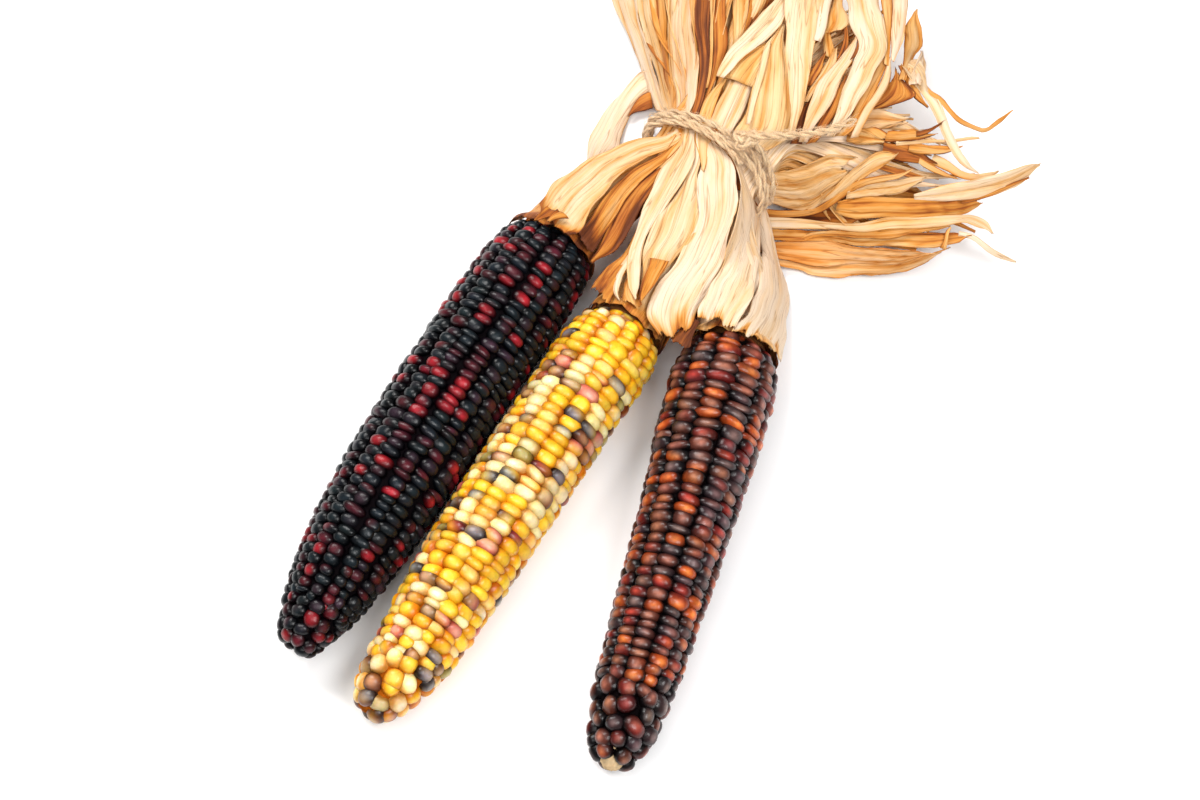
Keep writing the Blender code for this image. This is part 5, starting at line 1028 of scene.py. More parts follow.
    ("middle_13", 0.36, -0.6, 2.0, 1.20, 1.00, 4.0, [(30.5, -27.9, 9.8, 28.2, -22.0, 4.7), (36.9, -23.5, 4.8, 35.3, -19.6, 2.9), (43.7, -20.8, 2.3, 42.2, -17.3, 2.0), (48.5, -20.9, 1.8, 47.8, -15.6, 2.3), (57.5, -18.0, 2.1, 56.5, -12.1, 3.8), (65.2, -13.8, 3.0, 64.1, -10.2, 6.5), (73.1, -10.6, 5.0, 73.0, -8.0, 9.6), (79.9, -7.2, 8.0, 80.0, -4.8, 12.3), (86.2, -2.6, 11.4, 85.2, -0.9, 14.3), (92.0, 3.2, 14.7, 90.9, 3.9, 15.7)]),
    ("left_13", 0.02, -0.2, 1.4, 0.60, 1.00, 1.0, [(-40.3, 31.5, 8.3, -35.6, 26.0, 4.1), (-44.0, 30.9, 4.5, -38.4, 25.9, 2.8), (-46.6, 25.6, 2.3, -40.9, 20.4, 1.9), (-48.4, 17.9, 1.7, -40.4, 11.3, 1.6), (-49.7, 9.9, 1.6, -39.3, 2.6, 1.6), (-50.2, 1.4, 1.6, -37.7, -2.5, 1.6), (-49.9, -7.2, 1.6, -40.6, -8.7, 1.6), (-49.0, -13.5, 1.6, -43.5, -14.8, 1.6)]),
    ("left_13", 0.80, 0.1, 0.8, 1.00, 1.00, 1.0, [(-37.7, 26.0, 4.1, -33.6, 19.8, 3.1), (-40.2, 22.6, 3.4, -35.8, 17.3, 3.0), (-41.5, 18.1, 3.1, -37.4, 13.7, 3.0), (-41.3, 13.3, 3.0, -38.8, 10.5, 3.0)]),
    ("left_13", 0.42, -0.2, 0.5, 1.00, 1.00, 1.0, [(-31.7, 4.0, 2.6, -30.6, 5.9, 2.6), (-31.3, 7.5, 2.6, -28.2, 7.0, 4.2), (-30.4, 10.9, 2.6, -26.7, 10.0, 12.1), (-29.0, 13.4, 2.6, -19.3, -2.9, 27.6)]),
    ("right_12", 0.74, 0.2, 1.4, 1.00, 1.00, 4.5, [(56.5, 19.2, 32.5, 55.6, 22.9, 34.7), (61.9, 19.3, 32.0, 60.4, 24.3, 34.3), (66.9, 20.5, 31.6, 65.2, 26.1, 33.6), (71.1, 21.7, 31.2, 70.5, 26.7, 32.6), (76.1, 22.9, 30.9, 76.2, 26.3, 31.5)]),
    ("right_12", 0.50, 0.2, 1.0, 1.00, 1.00, 3.0, [(64.8, 23.2, 33.7, 64.3, 26.1, 35.2), (69.6, 24.8, 33.3, 68.9, 28.2, 34.5), (73.6, 26.5, 33.0, 73.1, 29.4, 33.8), (77.2, 29.1, 32.9, 77.0, 30.6, 33.3), (79.9, 32.1, 32.9, 79.9, 33.0, 33.0)]),
    ("right_12", 0.80, 0.0, 0.6, 1.00, 1.00, 2.0, [(65.4, 28.9, 35.9, 64.6, 30.6, 36.9), (68.7, 32.2, 36.2, 68.3, 33.8, 36.9), (71.0, 35.8, 36.6, 70.6, 36.7, 37.0), (72.8, 39.1, 37.0, 72.5, 39.7, 37.2)]),
    ("right_12", 0.36, 0.1, 0.8, 1.00, 1.00, 2.5, [(69.8, 21.0, 32.1, 69.4, 23.6, 32.7), (75.4, 20.5, 31.3, 75.4, 23.4, 31.9), (80.8, 20.8, 30.5, 81.1, 22.9, 31.0), (85.7, 22.3, 29.7, 86.0, 23.4, 30.1)]),
    ("right_12", 0.66, 0.0, 1.0, 1.00, 1.00, 3.0, [(55.3, 13.2, 30.9, 54.8, 16.1, 31.7), (61.2, 13.8, 30.7, 61.1, 16.8, 31.5), (66.4, 14.5, 30.5, 66.2, 17.6, 31.2), (71.2, 16.0, 30.3, 71.1, 18.0, 30.8), (74.3, 17.9, 30.2, 74.7, 18.9, 30.4)]),
    ("middle_12", 0.56, 0.9, 4.0, 0.90, 1.00, 0.8, [(-1.1, -55.2, 33.0, 5.5, -53.1, 31.8), (-0.4, -59.2, 33.2, 5.2, -56.2, 31.8), (0.2, -63.3, 33.7, 4.8, -59.6, 32.1), (1.3, -68.2, 34.4, 4.7, -64.5, 32.9), (2.7, -71.9, 34.9, 4.2, -69.9, 34.0), (3.8, -73.9, 35.0, 4.2, -72.8, 34.8)]),
]

# ---------------------------------------------------------------------------
# husks
# ---------------------------------------------------------------------------
HUSK_THICKNESS = 0.26
CREAM, TAN, BROWN = 0.0, 0.5, 1.0      # how far a leaf's colour goes from cream to orange-brown


def husk_material():
    """Dry husk: fibres along the leaf, dark creases of painted shade, faint cross wrinkles, painted shade browning the
    folds, and darker at the torn ends.
    """
    n = Nodes("husk")
    grain = n.attribute("leaf", "Vector")           # across mm, along mm, leaf number
    tint = n.attribute("tone", "Fac")               # 0 cream, 0.5 tan, 1 orange-brown
    fold = n.attribute("fold", "Fac")               # 1 deep in a fold: painted shade, browner in the folds
    warm = n.attribute("warm", "Fac")               # -1 pinkish, 1 yellow
    fibre = n.noise(n.stretched(grain, (1.9, 0.040, 7.3)), 1.0, 4.0, 0.66, 0.2)
    rib = n.noise(n.stretched(grain, (0.62, 0.020, 3.1)), 1.0, 2.0, 0.5, 0.3)
    crease = n.noise(n.stretched(grain, (0.46, 0.020, 9.7)), 1.0, 1.0, 0.5, 0.4)
    blotch = n.noise(n.stretched(grain, (0.15, 0.032, 5.7)), 1.0, 3.0, 0.6, 0.2)
    speck = n.noise(n.stretched(grain, (0.9, 0.35, 2.3)), 1.0, 5.0, 0.7)
    wrinkle = n.noise(n.stretched(grain, (0.16, 0.9, 4.1)), 1.0, 3.0, 0.6)
    amount = n.maths("ADD", tint, n.maths("MULTIPLY", n.maths("SUBTRACT", blotch, 0.5), 0.92))
    amount = n.maths("ADD", amount, n.maths("MULTIPLY", n.maths("SUBTRACT", fibre, 0.5), 0.32))
    # painted shade: the folds turn browner
    amount = n.maths("ADD", amount, n.maths("MULTIPLY", fold, 0.40))
    base = n.ramp(amount, [(0.0, srgb(240, 217, 190)), (0.20, srgb(236, 204, 162)), (0.42, srgb(228, 178, 114)),
                           (0.62, srgb(214, 142, 58)), (0.82, srgb(174, 95, 29)), (1.0, srgb(104, 50, 18))])
    lines = n.ramp(rib, [(0.33, (0.84, 0.75, 0.64)), (0.44, (1.0, 1.0, 1.0)), (0.70, (1.02, 1.02, 1.02))])
    base = n.mix(0.55, base, lines, "MULTIPLY")
    # a crease is where the noise passes through its middle: long thin dark lines, painted shade in the creases
    sharp = n.maths("ABSOLUTE", n.maths("SUBTRACT", crease, 0.5))
    crease_shade = n.ramp(sharp, [(0.0, (0.46, 0.32, 0.20)), (0.008, (0.60, 0.46, 0.33)), (0.020, (1.0, 1.0, 1.0))])
    base = n.mix(0.62, base, crease_shade, "MULTIPLY")
    yellow = n.maths("MULTIPLY", warm, 0.80, True)
    pink = n.maths("MULTIPLY", warm, -0.90, True)
    base = n.mix(yellow, base, n.mix(1.0, base, (1.0, 0.93, 0.70, 1.0), "MULTIPLY"))
    base = n.mix(pink, base, n.mix(1.0, base, (0.99, 0.86, 0.84, 1.0), "MULTIPLY"))
    dark = n.ramp(speck, [(0.24, (0.62, 0.46, 0.32)), (0.33, (1.0, 1.0, 1.0))])
    base = n.mix(0.55, base, dark, "MULTIPLY")
    deep = n.ramp(sharp, [(0.0, 0.0), (0.035, 1.0)])
    height = n.maths("ADD", n.maths("MULTIPLY", fibre, 0.9), n.maths("MULTIPLY", rib, 1.2))
    height = n.maths("ADD", height, n.maths("MULTIPLY", wrinkle, 0.40))
    height = n.maths("ADD", height, n.maths("MULTIPLY", deep, 0.30))
    normal = n.bump(height, 0.60, 0.00060)
    rough = n.maths("ADD", n.maths("MULTIPLY", fibre, 0.20), 0.52)
    paper = n.new("ShaderNodeBsdfPrincipled", Base_Color=base, Roughness=rough, Normal=normal)
    paper.inputs["IOR"].default_value = 1.42
    paper.inputs["Specular IOR Level"].default_value = 0.35
    paper.inputs["Sheen Weight"].default_value = 0.06
    glow = n.new("ShaderNodeBsdfTranslucent", Color=n.mix(1.0, base, (1.0, 0.76, 0.44, 1.0), "MULTIPLY"), Normal=normal)
    mix = n.tree.nodes.new("ShaderNodeMixShader")
    mix.inputs[0].default_value = 0.14
    n.tree.links.new(paper.outputs[0], mix.inputs[1])
    n.tree.links.new(glow.outputs[0], mix.inputs[2])
    return n.finish(mix.outputs[0])


def unit(v):
    return v / np.maximum(np.linalg.norm(v, axis=-1, keepdims=True), 1e-9)


def normals_of(grid):
    """Normals of a grid of points, rows along the leaf and columns across it, pointing up on average."""
    du = np.gradient(grid, axis=1)
    ds = np.gradient(grid, axis=0)
    n = unit(np.cross(du, ds))
    return n if n[..., 2].mean() > 0 else -n


def across_grid(grid, u):
    """Columns of a grid read at the places u (rows x columns) from -1 to 1 across it."""
    cols = grid.shape[1]
    at = (np.clip(u, -1.0, 1.0) + 1) / 2 * (cols - 1)
    k = np.clip(at.astype(int), 0, cols - 2)
    f = (at - k)[..., None]
    rows = np.arange(grid.shape[0])[:, None]
    return grid[rows, k] * (1 - f) + grid[rows, k + 1] * f


def ridge(x):
    """Broad ridges with narrow valleys at the whole numbers."""
    return np.abs(np.sin(math.pi * x)) ** 0.55


def sleeve_folds(ear, share, q):
    """Pleats that all the layers of an ear's sleeve share: by the place across (-1 to 1) and from butt to neck."""
    k = {"left": 0.0, "middle": 1.7, "right": 3.9}[ear]
    x = share * 3.1 + 0.35 * np.sin(q * 3.1 + k + share * 1.5) + 0.16 * np.sin(q * 9.0 + k * 2 + share * 4.0) + k
    big = ridge(x)
    small = ridge(x * 2.7 + 0.4 * np.sin(q * 5.0 + k * 3) + 0.3)
    return 0.82 * big + 0.18 * small


class Husk:
    """Collects the strips of one leaf into one mesh."""

    def __init__(self, number):
        self.number = number
        self.verts, self.quads, self.leaf, self.tone, self.fold, self.warm = [], [], [], [], [], []
        self.count = 0

    def add(self, grid, tone, fold, seed, warm=0.0):
        rows, cols = grid.shape[:2]
        mid = grid[:, cols // 2]
        along = np.concatenate([[0.0], np.cumsum(np.linalg.norm(np.diff(mid, axis=0), axis=1))])
        widths = np.linalg.norm(np.diff(grid, axis=1), axis=2)
        across = np.concatenate([np.zeros((rows, 1)), np.cumsum(widths, axis=1)], axis=1)
        across = across - across[:, cols // 2][:, None]
        leaf = np.stack([across, np.repeat(along[:, None], cols, axis=1), np.full((rows, cols), self.number + 13.7 * seed)], axis=2)
        i, j = np.meshgrid(np.arange(rows - 1), np.arange(cols - 1), indexing="ij")
        a = (i * cols + j).ravel() + self.count
        self.quads.append(np.stack([a, a + 1, a + cols + 1, a + cols], axis=1))
        self.verts.append(grid.reshape(-1, 3))
        self.leaf.append(leaf.reshape(-1, 3))
        self.tone.append(np.broadcast_to(tone, (rows, cols)).ravel())
        self.fold.append(np.broadcast_to(fold, (rows, cols)).ravel())
        self.warm.append(np.broadcast_to(warm, (rows, cols)).ravel())
        self.count += rows * cols

    def piece(self, name, material, slot, *nodes):
        obj = mesh_piece(name, np.concatenate(self.verts), np.concatenate(self.quads), (), {
            "leaf": ("VECTOR", np.concatenate(self.leaf)),
            "tone": ("FLOAT", np.concatenate(self.tone)),
            "fold": ("FLOAT", np.concatenate(self.fold)),
            "warm": ("FLOAT", np.concatenate(self.warm)),
        }, [material])
        skin = obj.modifiers.new("thickness", "SOLIDIFY")
        skin.thickness = HUSK_THICKNESS * MM
        skin.offset = 0.0
        skin.use_even_offset = False
        return on_root(obj, slot, *nodes)


def bend_strip(S, twist, lift, curl, folds, amount):
    """Turns each row of a strip about its middle, lifts it, rolls its edges and folds it along its length."""
    cols = S.shape[1]
    v = np.linspace(-1.0, 1.0, cols)[None, :]
    mid = S.mean(axis=1, keepdims=True)
    d = unit(np.gradient(mid[:, 0], axis=0))[:, None, :]
    a = unit(S[:, -1:] - S[:, :1])
    a = unit(a - (a * d).sum(-1, keepdims=True) * d)
    n = np.cross(a, d)
    if n[..., 2].mean() < 0:
        n = -n
    rel = S - mid
    x = (rel * a).sum(-1)
    z = (rel * n).sum(-1)
    y = (rel * d).sum(-1)
    z = z + amount * (folds - 0.6)
    half = np.maximum(np.abs(x).max(axis=1, keepdims=True), 1e-6)
    roll = curl * (np.abs(v) ** 3)
    x = x * (1 - 0.22 * np.minimum(np.abs(roll) / half, 1.0) * np.abs(v))
    z = z + roll
    c, s = np.cos(twist), np.sin(twist)
    x, z = x * c - z * s, x * s + z * c
    out = mid + a * x[..., None] + n * z[..., None] + d * y[..., None]
    out[..., 2] += lift
    return out


def collar(spec, rng, rows, across):
    """Rows in front of an outer leaf's base: it flares over the butt of the ear and ends torn."""
    ear, level = spec["ear"], spec["level"]
    top = level >= LEVELS // 2
    shell = level - LEVELS // 2 if top else LEVELS // 2 - 1 - level
    u = np.linspace(-1.0, 1.0, across + 1)
    fine = np.convolve(rng.random(across + 9), np.ones(3) / 3, mode="valid")[:across + 1]
    reach = {"left": (3.2, 4.5), "middle": (0.2, 3.5), "right": (1.2, 4.0)}[ear]
    front = (reach[0] if shell == LEVELS // 2 - 1 else min(reach[0], 2.4)) + reach[1] * (fine - 0.6)
    back = -(3.2 + 2.2 * (LEVELS // 2 - 1 - shell))
    along, side = ear_frame(ear)
    base = SHELL_FIRST + SHELL_PITCH * shell
    out = []
    for k in range(rows):
        s = front + (back - front) * (k / rows)
        want = np.maximum(ear_radius(ear, np.maximum(s, 3.0)) + 0.5 + 0.5 * (shell - LEVELS // 2 + 1), base)
        r = base + (want - base) * smooth((s - back) / 6.0)
        c = ear_axis(ear, np.maximum(s, 0.0)) + np.minimum(s, 0.0)[:, None] * along
        phi = SHELL_REACH * u * 1.04
        z = np.cos(phi) * r * (1.0 if top else -1.0)
        p = c + side * (np.sin(phi) * r)[:, None] + np.array([0.0, 0.0, 1.0]) * z[:, None]
        p[:, 2] = np.maximum(p[:, 2], 0.35)
        out.append(p)
    return np.array(out)


def gathered_husk(name, spec, husk, rng):
    """A gathered leaf as strips: one sheet at its base, splitting into torn strips in its tail."""
    ear, level = spec["ear"], spec["level"]
    top = level >= LEVELS // 2
    outer = level >= LEVELS - (3 if ear == "middle" else 2) or level <= 1
    rs, rn, rt = 24, 5, 46
    G = gathered_leaf(spec, rs, rn, rt, 8)
    if outer:
        # the outer leaves reach over the butt
        front = collar(spec, rng, 6, 40)
        wide = across_grid(G, np.broadcast_to(np.linspace(-1, 1, 41), (G.shape[0], 41)))
        G = np.concatenate([front, wide])
        rs += 6
    rows = G.shape[0]
    q = np.concatenate([np.linspace(0, 1, rs + 1), np.ones(rn + rt)])       # butt to neck
    t = np.concatenate([np.zeros(rs + 1 + rn), np.linspace(0, 1, rt + 1)[1:]])   # along the tail
    count = 3 if spec["width"] > 24 else 2
    if level < 3:
        count = 2
    edges = np.linspace(-1, 1, count + 1)
    edges[1:-1] += rng.uniform(-0.15, 0.15, count - 1)
    tone0 = 0.10 + 0.42 * (1 - level / (LEVELS - 1.0)) + rng.uniform(-0.08, 0.14)
    if ear == "left" and level < 9:
        tone0 += 0.12
    if level in (LEVELS - 3, LEVELS - 2):
        tone0 = {"left": 0.42, "middle": tone0, "right": 0.03}[ear]
    for k in range(count):
        r = rng.random(12)
        split = 0.04 + 0.30 * r[0]
        gap = smooth((t - split) / 0.35) * (0.05 + 0.10 * r[1])
        lo, hi = edges[k] - 0.03 + gap, edges[k + 1] + 0.03 - gap
        mid = (lo + hi) / 2 + (r[2] - 0.5) * 0.30 * t ** 2
        half = (hi - lo) / 2
        end = 0.80 + 0.20 * r[3]
        if spec["turn"] > 24:
            end *= 0.62 if spec["turn"] < 80 else 0.80
        taper = 1 - smooth((t / end - 0.50) / 0.52) * 0.93
        half = half * taper * (1 + 0.06 * np.sin(t * 14 + 6 * r[4]))
        cols = 12 if count == 2 else 9
        v = np.linspace(-1, 1, cols)[None, :]
        S = across_grid(G, mid[:, None] + half[:, None] * v)
        # the strip's own end: rows beyond it are pulled back onto it
        stretch = np.minimum(t, end)
        idx = np.interp(stretch, t[rs + rn:], np.arange(rs + rn, rows))
        base_index = np.concatenate([np.arange(rs + rn), idx[rs + rn:]])
        k0 = np.clip(np.floor(base_index).astype(int), 0, rows - 2)
        f = (base_index - k0)[:, None, None]
        S = S[k0] * (1 - f) + S[k0 + 1] * f
        keep = np.concatenate([[True], np.linalg.norm(np.diff(S.mean(axis=1), axis=0), axis=1) > 0.05])
        share = (mid[:, None] + half[:, None] * v)
        shared = sleeve_folds(ear, share, q[:, None])
        own = ridge(v * (1.1 + 1.2 * r[5]) + 0.35 * np.sin(t[:, None] * (3 + 4 * r[6]) + 6 * r[7]) + r[8])
        blend = smooth(t / 0.25)[:, None]
        folds = shared * (1 - blend) + own * blend
        amount = (0.20 + 0.60 * smooth(q / 0.35) + 0.20 * smooth((q - 0.7) / 0.3))[:, None] * (1 - blend) + blend * (0.7 + 0.7 * r[9])
        amount = amount * (1 - 0.6 * smooth((t - 0.7) / 0.3))[:, None]
        free = 0.2 if spec["turn"] > 36 else 1.0 if level >= LEVELS - 3 else 0.45
        twist = (smooth((t - 0.30) / 0.7) * (r[10] - 0.5) * 2.4 * free)[:, None]
        lift = (smooth((t - 0.2) / 0.8) * (r[11] - 0.35) * 5.0 * free)[:, None]
        if ear != "middle" and level in (LEVELS - 3, LEVELS - 2):
            lift = lift - (2.0 * smooth(q / 0.2) * (1 - smooth((q - 0.85) / 0.15)))[:, None]     # pressed down by the leaf over it
        curl = (0.25 + 1.5 * blend * free) * (1 if r[1] > 0.3 else -0.7)
        out = bend_strip(S, twist, lift, curl, folds, amount)
        out = out[keep]
        # painted shade: darker colour in the valleys of the folds
        fold = (1 - folds)[keep] * (0.5 + 0.5 * (1 - blend[keep] * 0.4))
        tipdark = 0.22 * smooth((t[keep] - 0.75) / 0.25)[:, None]
        # browned where it was torn from the butt
        scorched = (0.42 * smooth((0.22 - q[keep]) / 0.22) * outer)[:, None]
        husk.add(out, tone0 + 0.16 * (r[4] - 0.5) + tipdark + scorched, fold, k, 0.5 * (r[9] - 0.45))


def torn_strip(husk, rng, points, tone, warm, pleats, amount, brown_end, ragged, seed, crumpled):
    """A strip between two edges: pleated along its length, crumpled, rolled at its edges, torn at its ends."""
    pts = np.array(points, float)
    at = np.linspace(0.0, 1.0, 200)
    both = through(pts, at)
    mid = (both[:, :3] + both[:, 3:]) / 2
    length = float(np.linalg.norm(np.diff(mid, axis=0), axis=1).sum())
    widths = np.linalg.norm(both[:, :3] - both[:, 3:], axis=1)
    rows = int(min(max(length / 1.9, 9), 72))
    cols = int(min(max(widths.max() / 0.56, 7), 46))
    v = np.linspace(0.0, 1.0, cols)
    # a torn end: pointed teeth a few millimetres wide, with finer ones on them
    teeth = max(2, int(widths[-40:].mean() / 2.6) + 1)
    rough = np.interp(v * teeth, np.arange(teeth + 1), rng.random(teeth + 1))
    rough = 0.72 * rough + 0.28 * rng.random(cols)
    rough = rough - rough.min()
    jag = ragged * 3.0 * rough / max(length, 8.0)
    P = np.empty((rows, cols, 3))
    base = np.linspace(0.0, 1.0, rows)
    # the two sides are not quite straight, and a narrow strip ends in a point
    far = base * length
    wander = [0.045 * (np.sin(far / 8.1 + k[0]) + 0.6 * np.sin(far / 3.1 + k[1]) - 0.2) for k in rng.random((2, 2)) * 6.28]
    broad = smooth(base / 0.15) * smooth((1 - base) / 0.1)
    skew = 0.2 + 0.6 * rng.random()
    point = 0.0 if widths[-1] > 7.5 or widths[-1] < 1.2 else 0.75
    narrow = 1 - point * smooth((far - length + 4.0 + 1.6 * widths[-1]) / (4.0 + 1.6 * widths[-1]))
    for j in range(cols):
        edge = through(pts, base * (1.0 - jag[j]))
        # torn edges wander a little
        w = v[j] + (wander[0] * (1 - v[j]) ** 2 - wander[1] * v[j] ** 2) * broad
        if j in (0, cols - 1):
            shift = 0.45 * ragged * (rng.random(rows + 4) - 0.3)
            shift = np.convolve(shift, np.ones(3) / 3, mode="valid")[:rows] / np.maximum(np.interp(base, at, widths), 1.5)
            w = w + (shift if j == 0 else -shift)
        w = skew + (w - skew) * narrow
        w = np.reshape(w, (-1, 1))
        P[:, j] = edge[:, :3] * (1 - w) + edge[:, 3:] * w
    wide = np.interp(base, at, widths)[:, None]
    ph = rng.random(6) * 6.28
    y = base[:, None] * length
    u = v[None, :] * 2 - 1
    x = v[None, :] * pleats + 0.14 * np.sin(y / 21.0 + ph[0]) + 0.03 * np.sin(y / 6.5 + ph[1]) + ph[2] / 6.28
    big = ridge(x)
    small = ridge(x * 2.6 + 0.25 * np.sin(y / 15.0 + ph[3]) + 0.3)
    fine = ridge(v[None, :] * wide / 2.3 + 0.4 * np.sin(y / 21.0 + ph[5]) + ph[4])
    rough_share = 0.10 + min(crumpled, 0.6) * 0.30
    folds = (0.90 - rough_share) * big + rough_share * small + 0.10 * fine
    # crumpled: folds that run slantwise, in patches
    slant = ridge(y / 8.5 + 0.09 * wide * u * (1 if ph[0] > 3.1 else -1) + 0.4 * np.sin(y / 7.0 + 2.0 * u + ph[0]) + ph[2])
    patch = smooth((np.sin(y / 14.0 + ph[1]) + 0.8 * np.sin(1.9 * u + y / 23.0 + ph[3]) + 0.5) / 0.9)
    crumple = crumpled * patch * np.minimum(wide / 5.0, 1.0)
    depth = amount * np.minimum(0.10 * wide / max(pleats, 0.6) * 1.75, 1.75) + 0.12
    crown = 0.055 * wide * (1 - u ** 2) * (0.6 + 0.8 * math.sin(ph[4]) ** 2)
    curl = np.minimum(0.07 * wide, 0.9) * np.where(u < 0, math.sin(ph[5]), math.cos(ph[5])) * np.abs(u) ** 4
    ripple = 0.28 * np.sin(y / 4.3 + 3 * u + ph[1]) * np.abs(u) ** 2 + 0.30 * np.sin(y / 13.0 + ph[3])
    across = unit(P[:, -1:] - P[:, :1])
    run = unit(np.gradient(P.mean(axis=1), axis=0))[:, None, :]
    normal = np.cross(across, run)
    normal = np.where(normal[..., 2:3] < 0, -normal, normal)
    normal = unit(normal)
    P = P + normal * (depth * (folds - 0.75) + crown + curl + crumple * (slant - 0.8) + ripple * np.minimum(wide / 6.0, 1.0))[..., None]
    end = np.broadcast_to(base[:, None], (rows, cols))
    shade = tone + np.zeros((rows, cols))
    if brown_end < 1.0:
        shade = shade + 0.62 * smooth((end - brown_end + 0.10 * (rough[None, :] - 0.5)) / max(1.0 - brown_end, 0.04))
    # a thin dark line along each edge: partly the leaf's own brown edge, partly painted shadow where the strips overlap
    shade = shade + 0.22 * (np.abs(u) > 0.97)
    # painted shade: darker colour in the pleats' valleys and the crumples' hollows
    fold = np.clip(1.15 * (1 - folds) ** 1.5 * min(0.35 + 0.65 * amount, 1.0) + 0.75 * crumple * (1 - slant), 0, 1)
    P[..., 2] = np.maximum(P[..., 2], 0.30)
    husk.add(P, shade, fold, seed, warm + 0.25 * (rng.random() - 0.5))


def make_husks():
    material = husk_material()
    torn = {}
    for number, strip in enumerate(STRIPS):
        torn.setdefault(strip[0], []).append((number, strip[1:]))
    specs = leaf_specs()
    for number, name in enumerate(sorted(specs) + sorted(LOOSE_LEAVES)):
        husk = Husk(number)
        key = name.replace("_husk_leaf", "")
        spec = specs.get(name)
        if spec and (key not in torn or key.startswith("right_11")):
            gathered_husk(name, spec, husk, seeded(41, number))
        for seed, (tone, warm, pleats, amount, brown_end, ragged, points) in torn.get(key, ()):
            crumpled = (0.12 + 0.16 * (ragged - 1)) * (0.3 if key.endswith("_12") else 1.0)
            torn_strip(husk, seeded(47, seed), points, tone, warm, pleats, amount, brown_end, ragged, seed, crumpled)
        slot = "husk_cream" if spec and spec["level"] > 5 else "husk_tan"
        husk.piece(name.replace("leaf", "strips"), material, slot, name)


make_husks()

# ---------------------------------------------------------------------------
# twine
# ---------------------------------------------------------------------------
def carried_frames(path):
    """Directions along a line and two across it, carried without turning."""
    d = unit(np.gradient(path, axis=0))
    first = np.cross(d[0], [0.0, 0.0, 1.0])
    if np.linalg.norm(first) < 1e-3:
        first = np.array([1.0, 0.0, 0.0])
    a = [first / np.linalg.norm(first)]
    for i in range(1, len(path)):
        v = a[-1] - (a[-1] @ d[i]) * d[i]
        a.append(v / np.linalg.norm(v))
    a = np.array(a)
    return d, a, np.cross(d, a)


def even_line(path, step):
    path = np.asarray(path, float)
    along = np.concatenate([[0.0], np.cumsum(np.linalg.norm(np.diff(path, axis=0), axis=1))])
    n = max(8, int(along[-1] / step))
    at = np.linspace(0, 1, n + 1)
    fine = through(path, np.linspace(0, 1, 20 * len(path)))
    fa = np.concatenate([[0.0], np.cumsum(np.linalg.norm(np.diff(fine, axis=0), axis=1))])
    return np.stack([np.interp(at * fa[-1], fa, fine[:, k]) for k in range(3)], axis=1)


def laid_twine(path, radius, rng, fibres, sides=9, step=0.75, lay=8.5, fray=0.0):
    """Two plies laid round each other along a line, with loose fibres: vertices, faces and tints, darker in the grooves
    with painted shade.
    """
    line = even_line(path, step)
    d, a, b = carried_frames(line)
    along = np.concatenate([[0.0], np.cumsum(np.linalg.norm(np.diff(line, axis=0), axis=1))])
    verts, quads, tris, tints_with_groove_shade = [], [], [], []
    count = 0
    end_open = smooth((along - (along[-1] - fray)) / max(fray, 1e-6)) if fray else np.zeros(len(along))
    for ply in range(2):
        turn = 2 * math.pi * along / lay + ply * math.pi
        off = radius * (0.44 + 0.25 * end_open)
        thick = radius * 0.52 * (1 + 0.06 * np.sin(along * 1.9 + ply) + 0.05 * np.sin(along * 0.63 + 2 * ply)) * (1 - 0.45 * end_open)
        centre = line + (a * np.cos(turn)[:, None] + b * np.sin(turn)[:, None]) * np.asarray(off).reshape(-1, 1)
        dd, aa, bb = carried_frames(centre)
        n = len(centre)
        for i in range(n):
            for k in range(sides):
                ang = 2 * math.pi * k / sides + along[i] * 1.4
                r = thick[i] * (1 + 0.13 * math.sin(3 * ang + along[i] * 0.9) + rng.normal(0, 0.05))
                verts.append(centre[i] + (aa[i] * math.cos(ang) + bb[i] * math.sin(ang)) * r)
                # painted shade: darker in the grooves between the ply's ridges, lighter on the ridges
                tints_with_groove_shade.append((0.92 + 0.16 * math.sin(3 * ang + along[i] * 0.9)))
        for i in range(n - 1):
            for k in range(sides):
                m = (k + 1) % sides
                quads.append((count + i * sides + k, count + i * sides + m, count + (i + 1) * sides + m, count + (i + 1) * sides + k))
        for i, s in ((0, 1), (n - 1, -1)):
            verts.append(centre[i])
            tints_with_groove_shade.append(0.9)
            c = count + n * sides + (0 if i == 0 else 1)
            for k in range(sides):
                m = (k + 1) % sides
                tris.append((count + i * sides + m, count + i * sides + k, c) if s == 1 else (count + i * sides + k, count + i * sides + m, c))
        count += n * sides + 2
    # loose fibres: thin three-sided hairs that leave the surface and bend along it
    for _ in range(fibres):
        i = int(rng.integers(1, len(line) - 2))
        ang = rng.random() * 2 * math.pi
        out = a[i] * math.cos(ang) + b[i] * math.sin(ang)
        way = d[i] * rng.choice([-1, 1])
        side = np.cross(out, way)
        p = line[i] + out * radius * 0.85
        length = rng.uniform(1.2, 4.4)
        bend = rng.normal(0, 0.6)
        steps = 4
        r0 = rng.uniform(0.045, 0.085)
        ring0 = count
        for j in range(steps + 1):
            f = j / steps
            c = p + way * length * f * 0.85 + out * (radius * 0.15 + min(length * 0.35, 1.4) * f * (1 - 0.35 * f)) + side * bend * length * 0.3 * f * f
            r = r0 * (1 - 0.75 * f)
            for k in range(3):
                g = 2 * math.pi * k / 3
                verts.append(c + (out * math.cos(g) + side * math.sin(g)) * r)
                tints_with_groove_shade.append(1.12)
        for j in range(steps):
            for k in range(3):
                m = (k + 1) % 3
                quads.append((ring0 + j * 3 + k, ring0 + j * 3 + m, ring0 + (j + 1) * 3 + m, ring0 + (j + 1) * 3 + k))
        tris.append((ring0 + 2, ring0 + 1, ring0))
        e = ring0 + steps * 3
        tris.append((e, e + 1, e + 2))
        count += (steps + 1) * 3
    return np.array(verts), np.array(quads), np.array(tris), np.array(tints_with_groove_shade), line


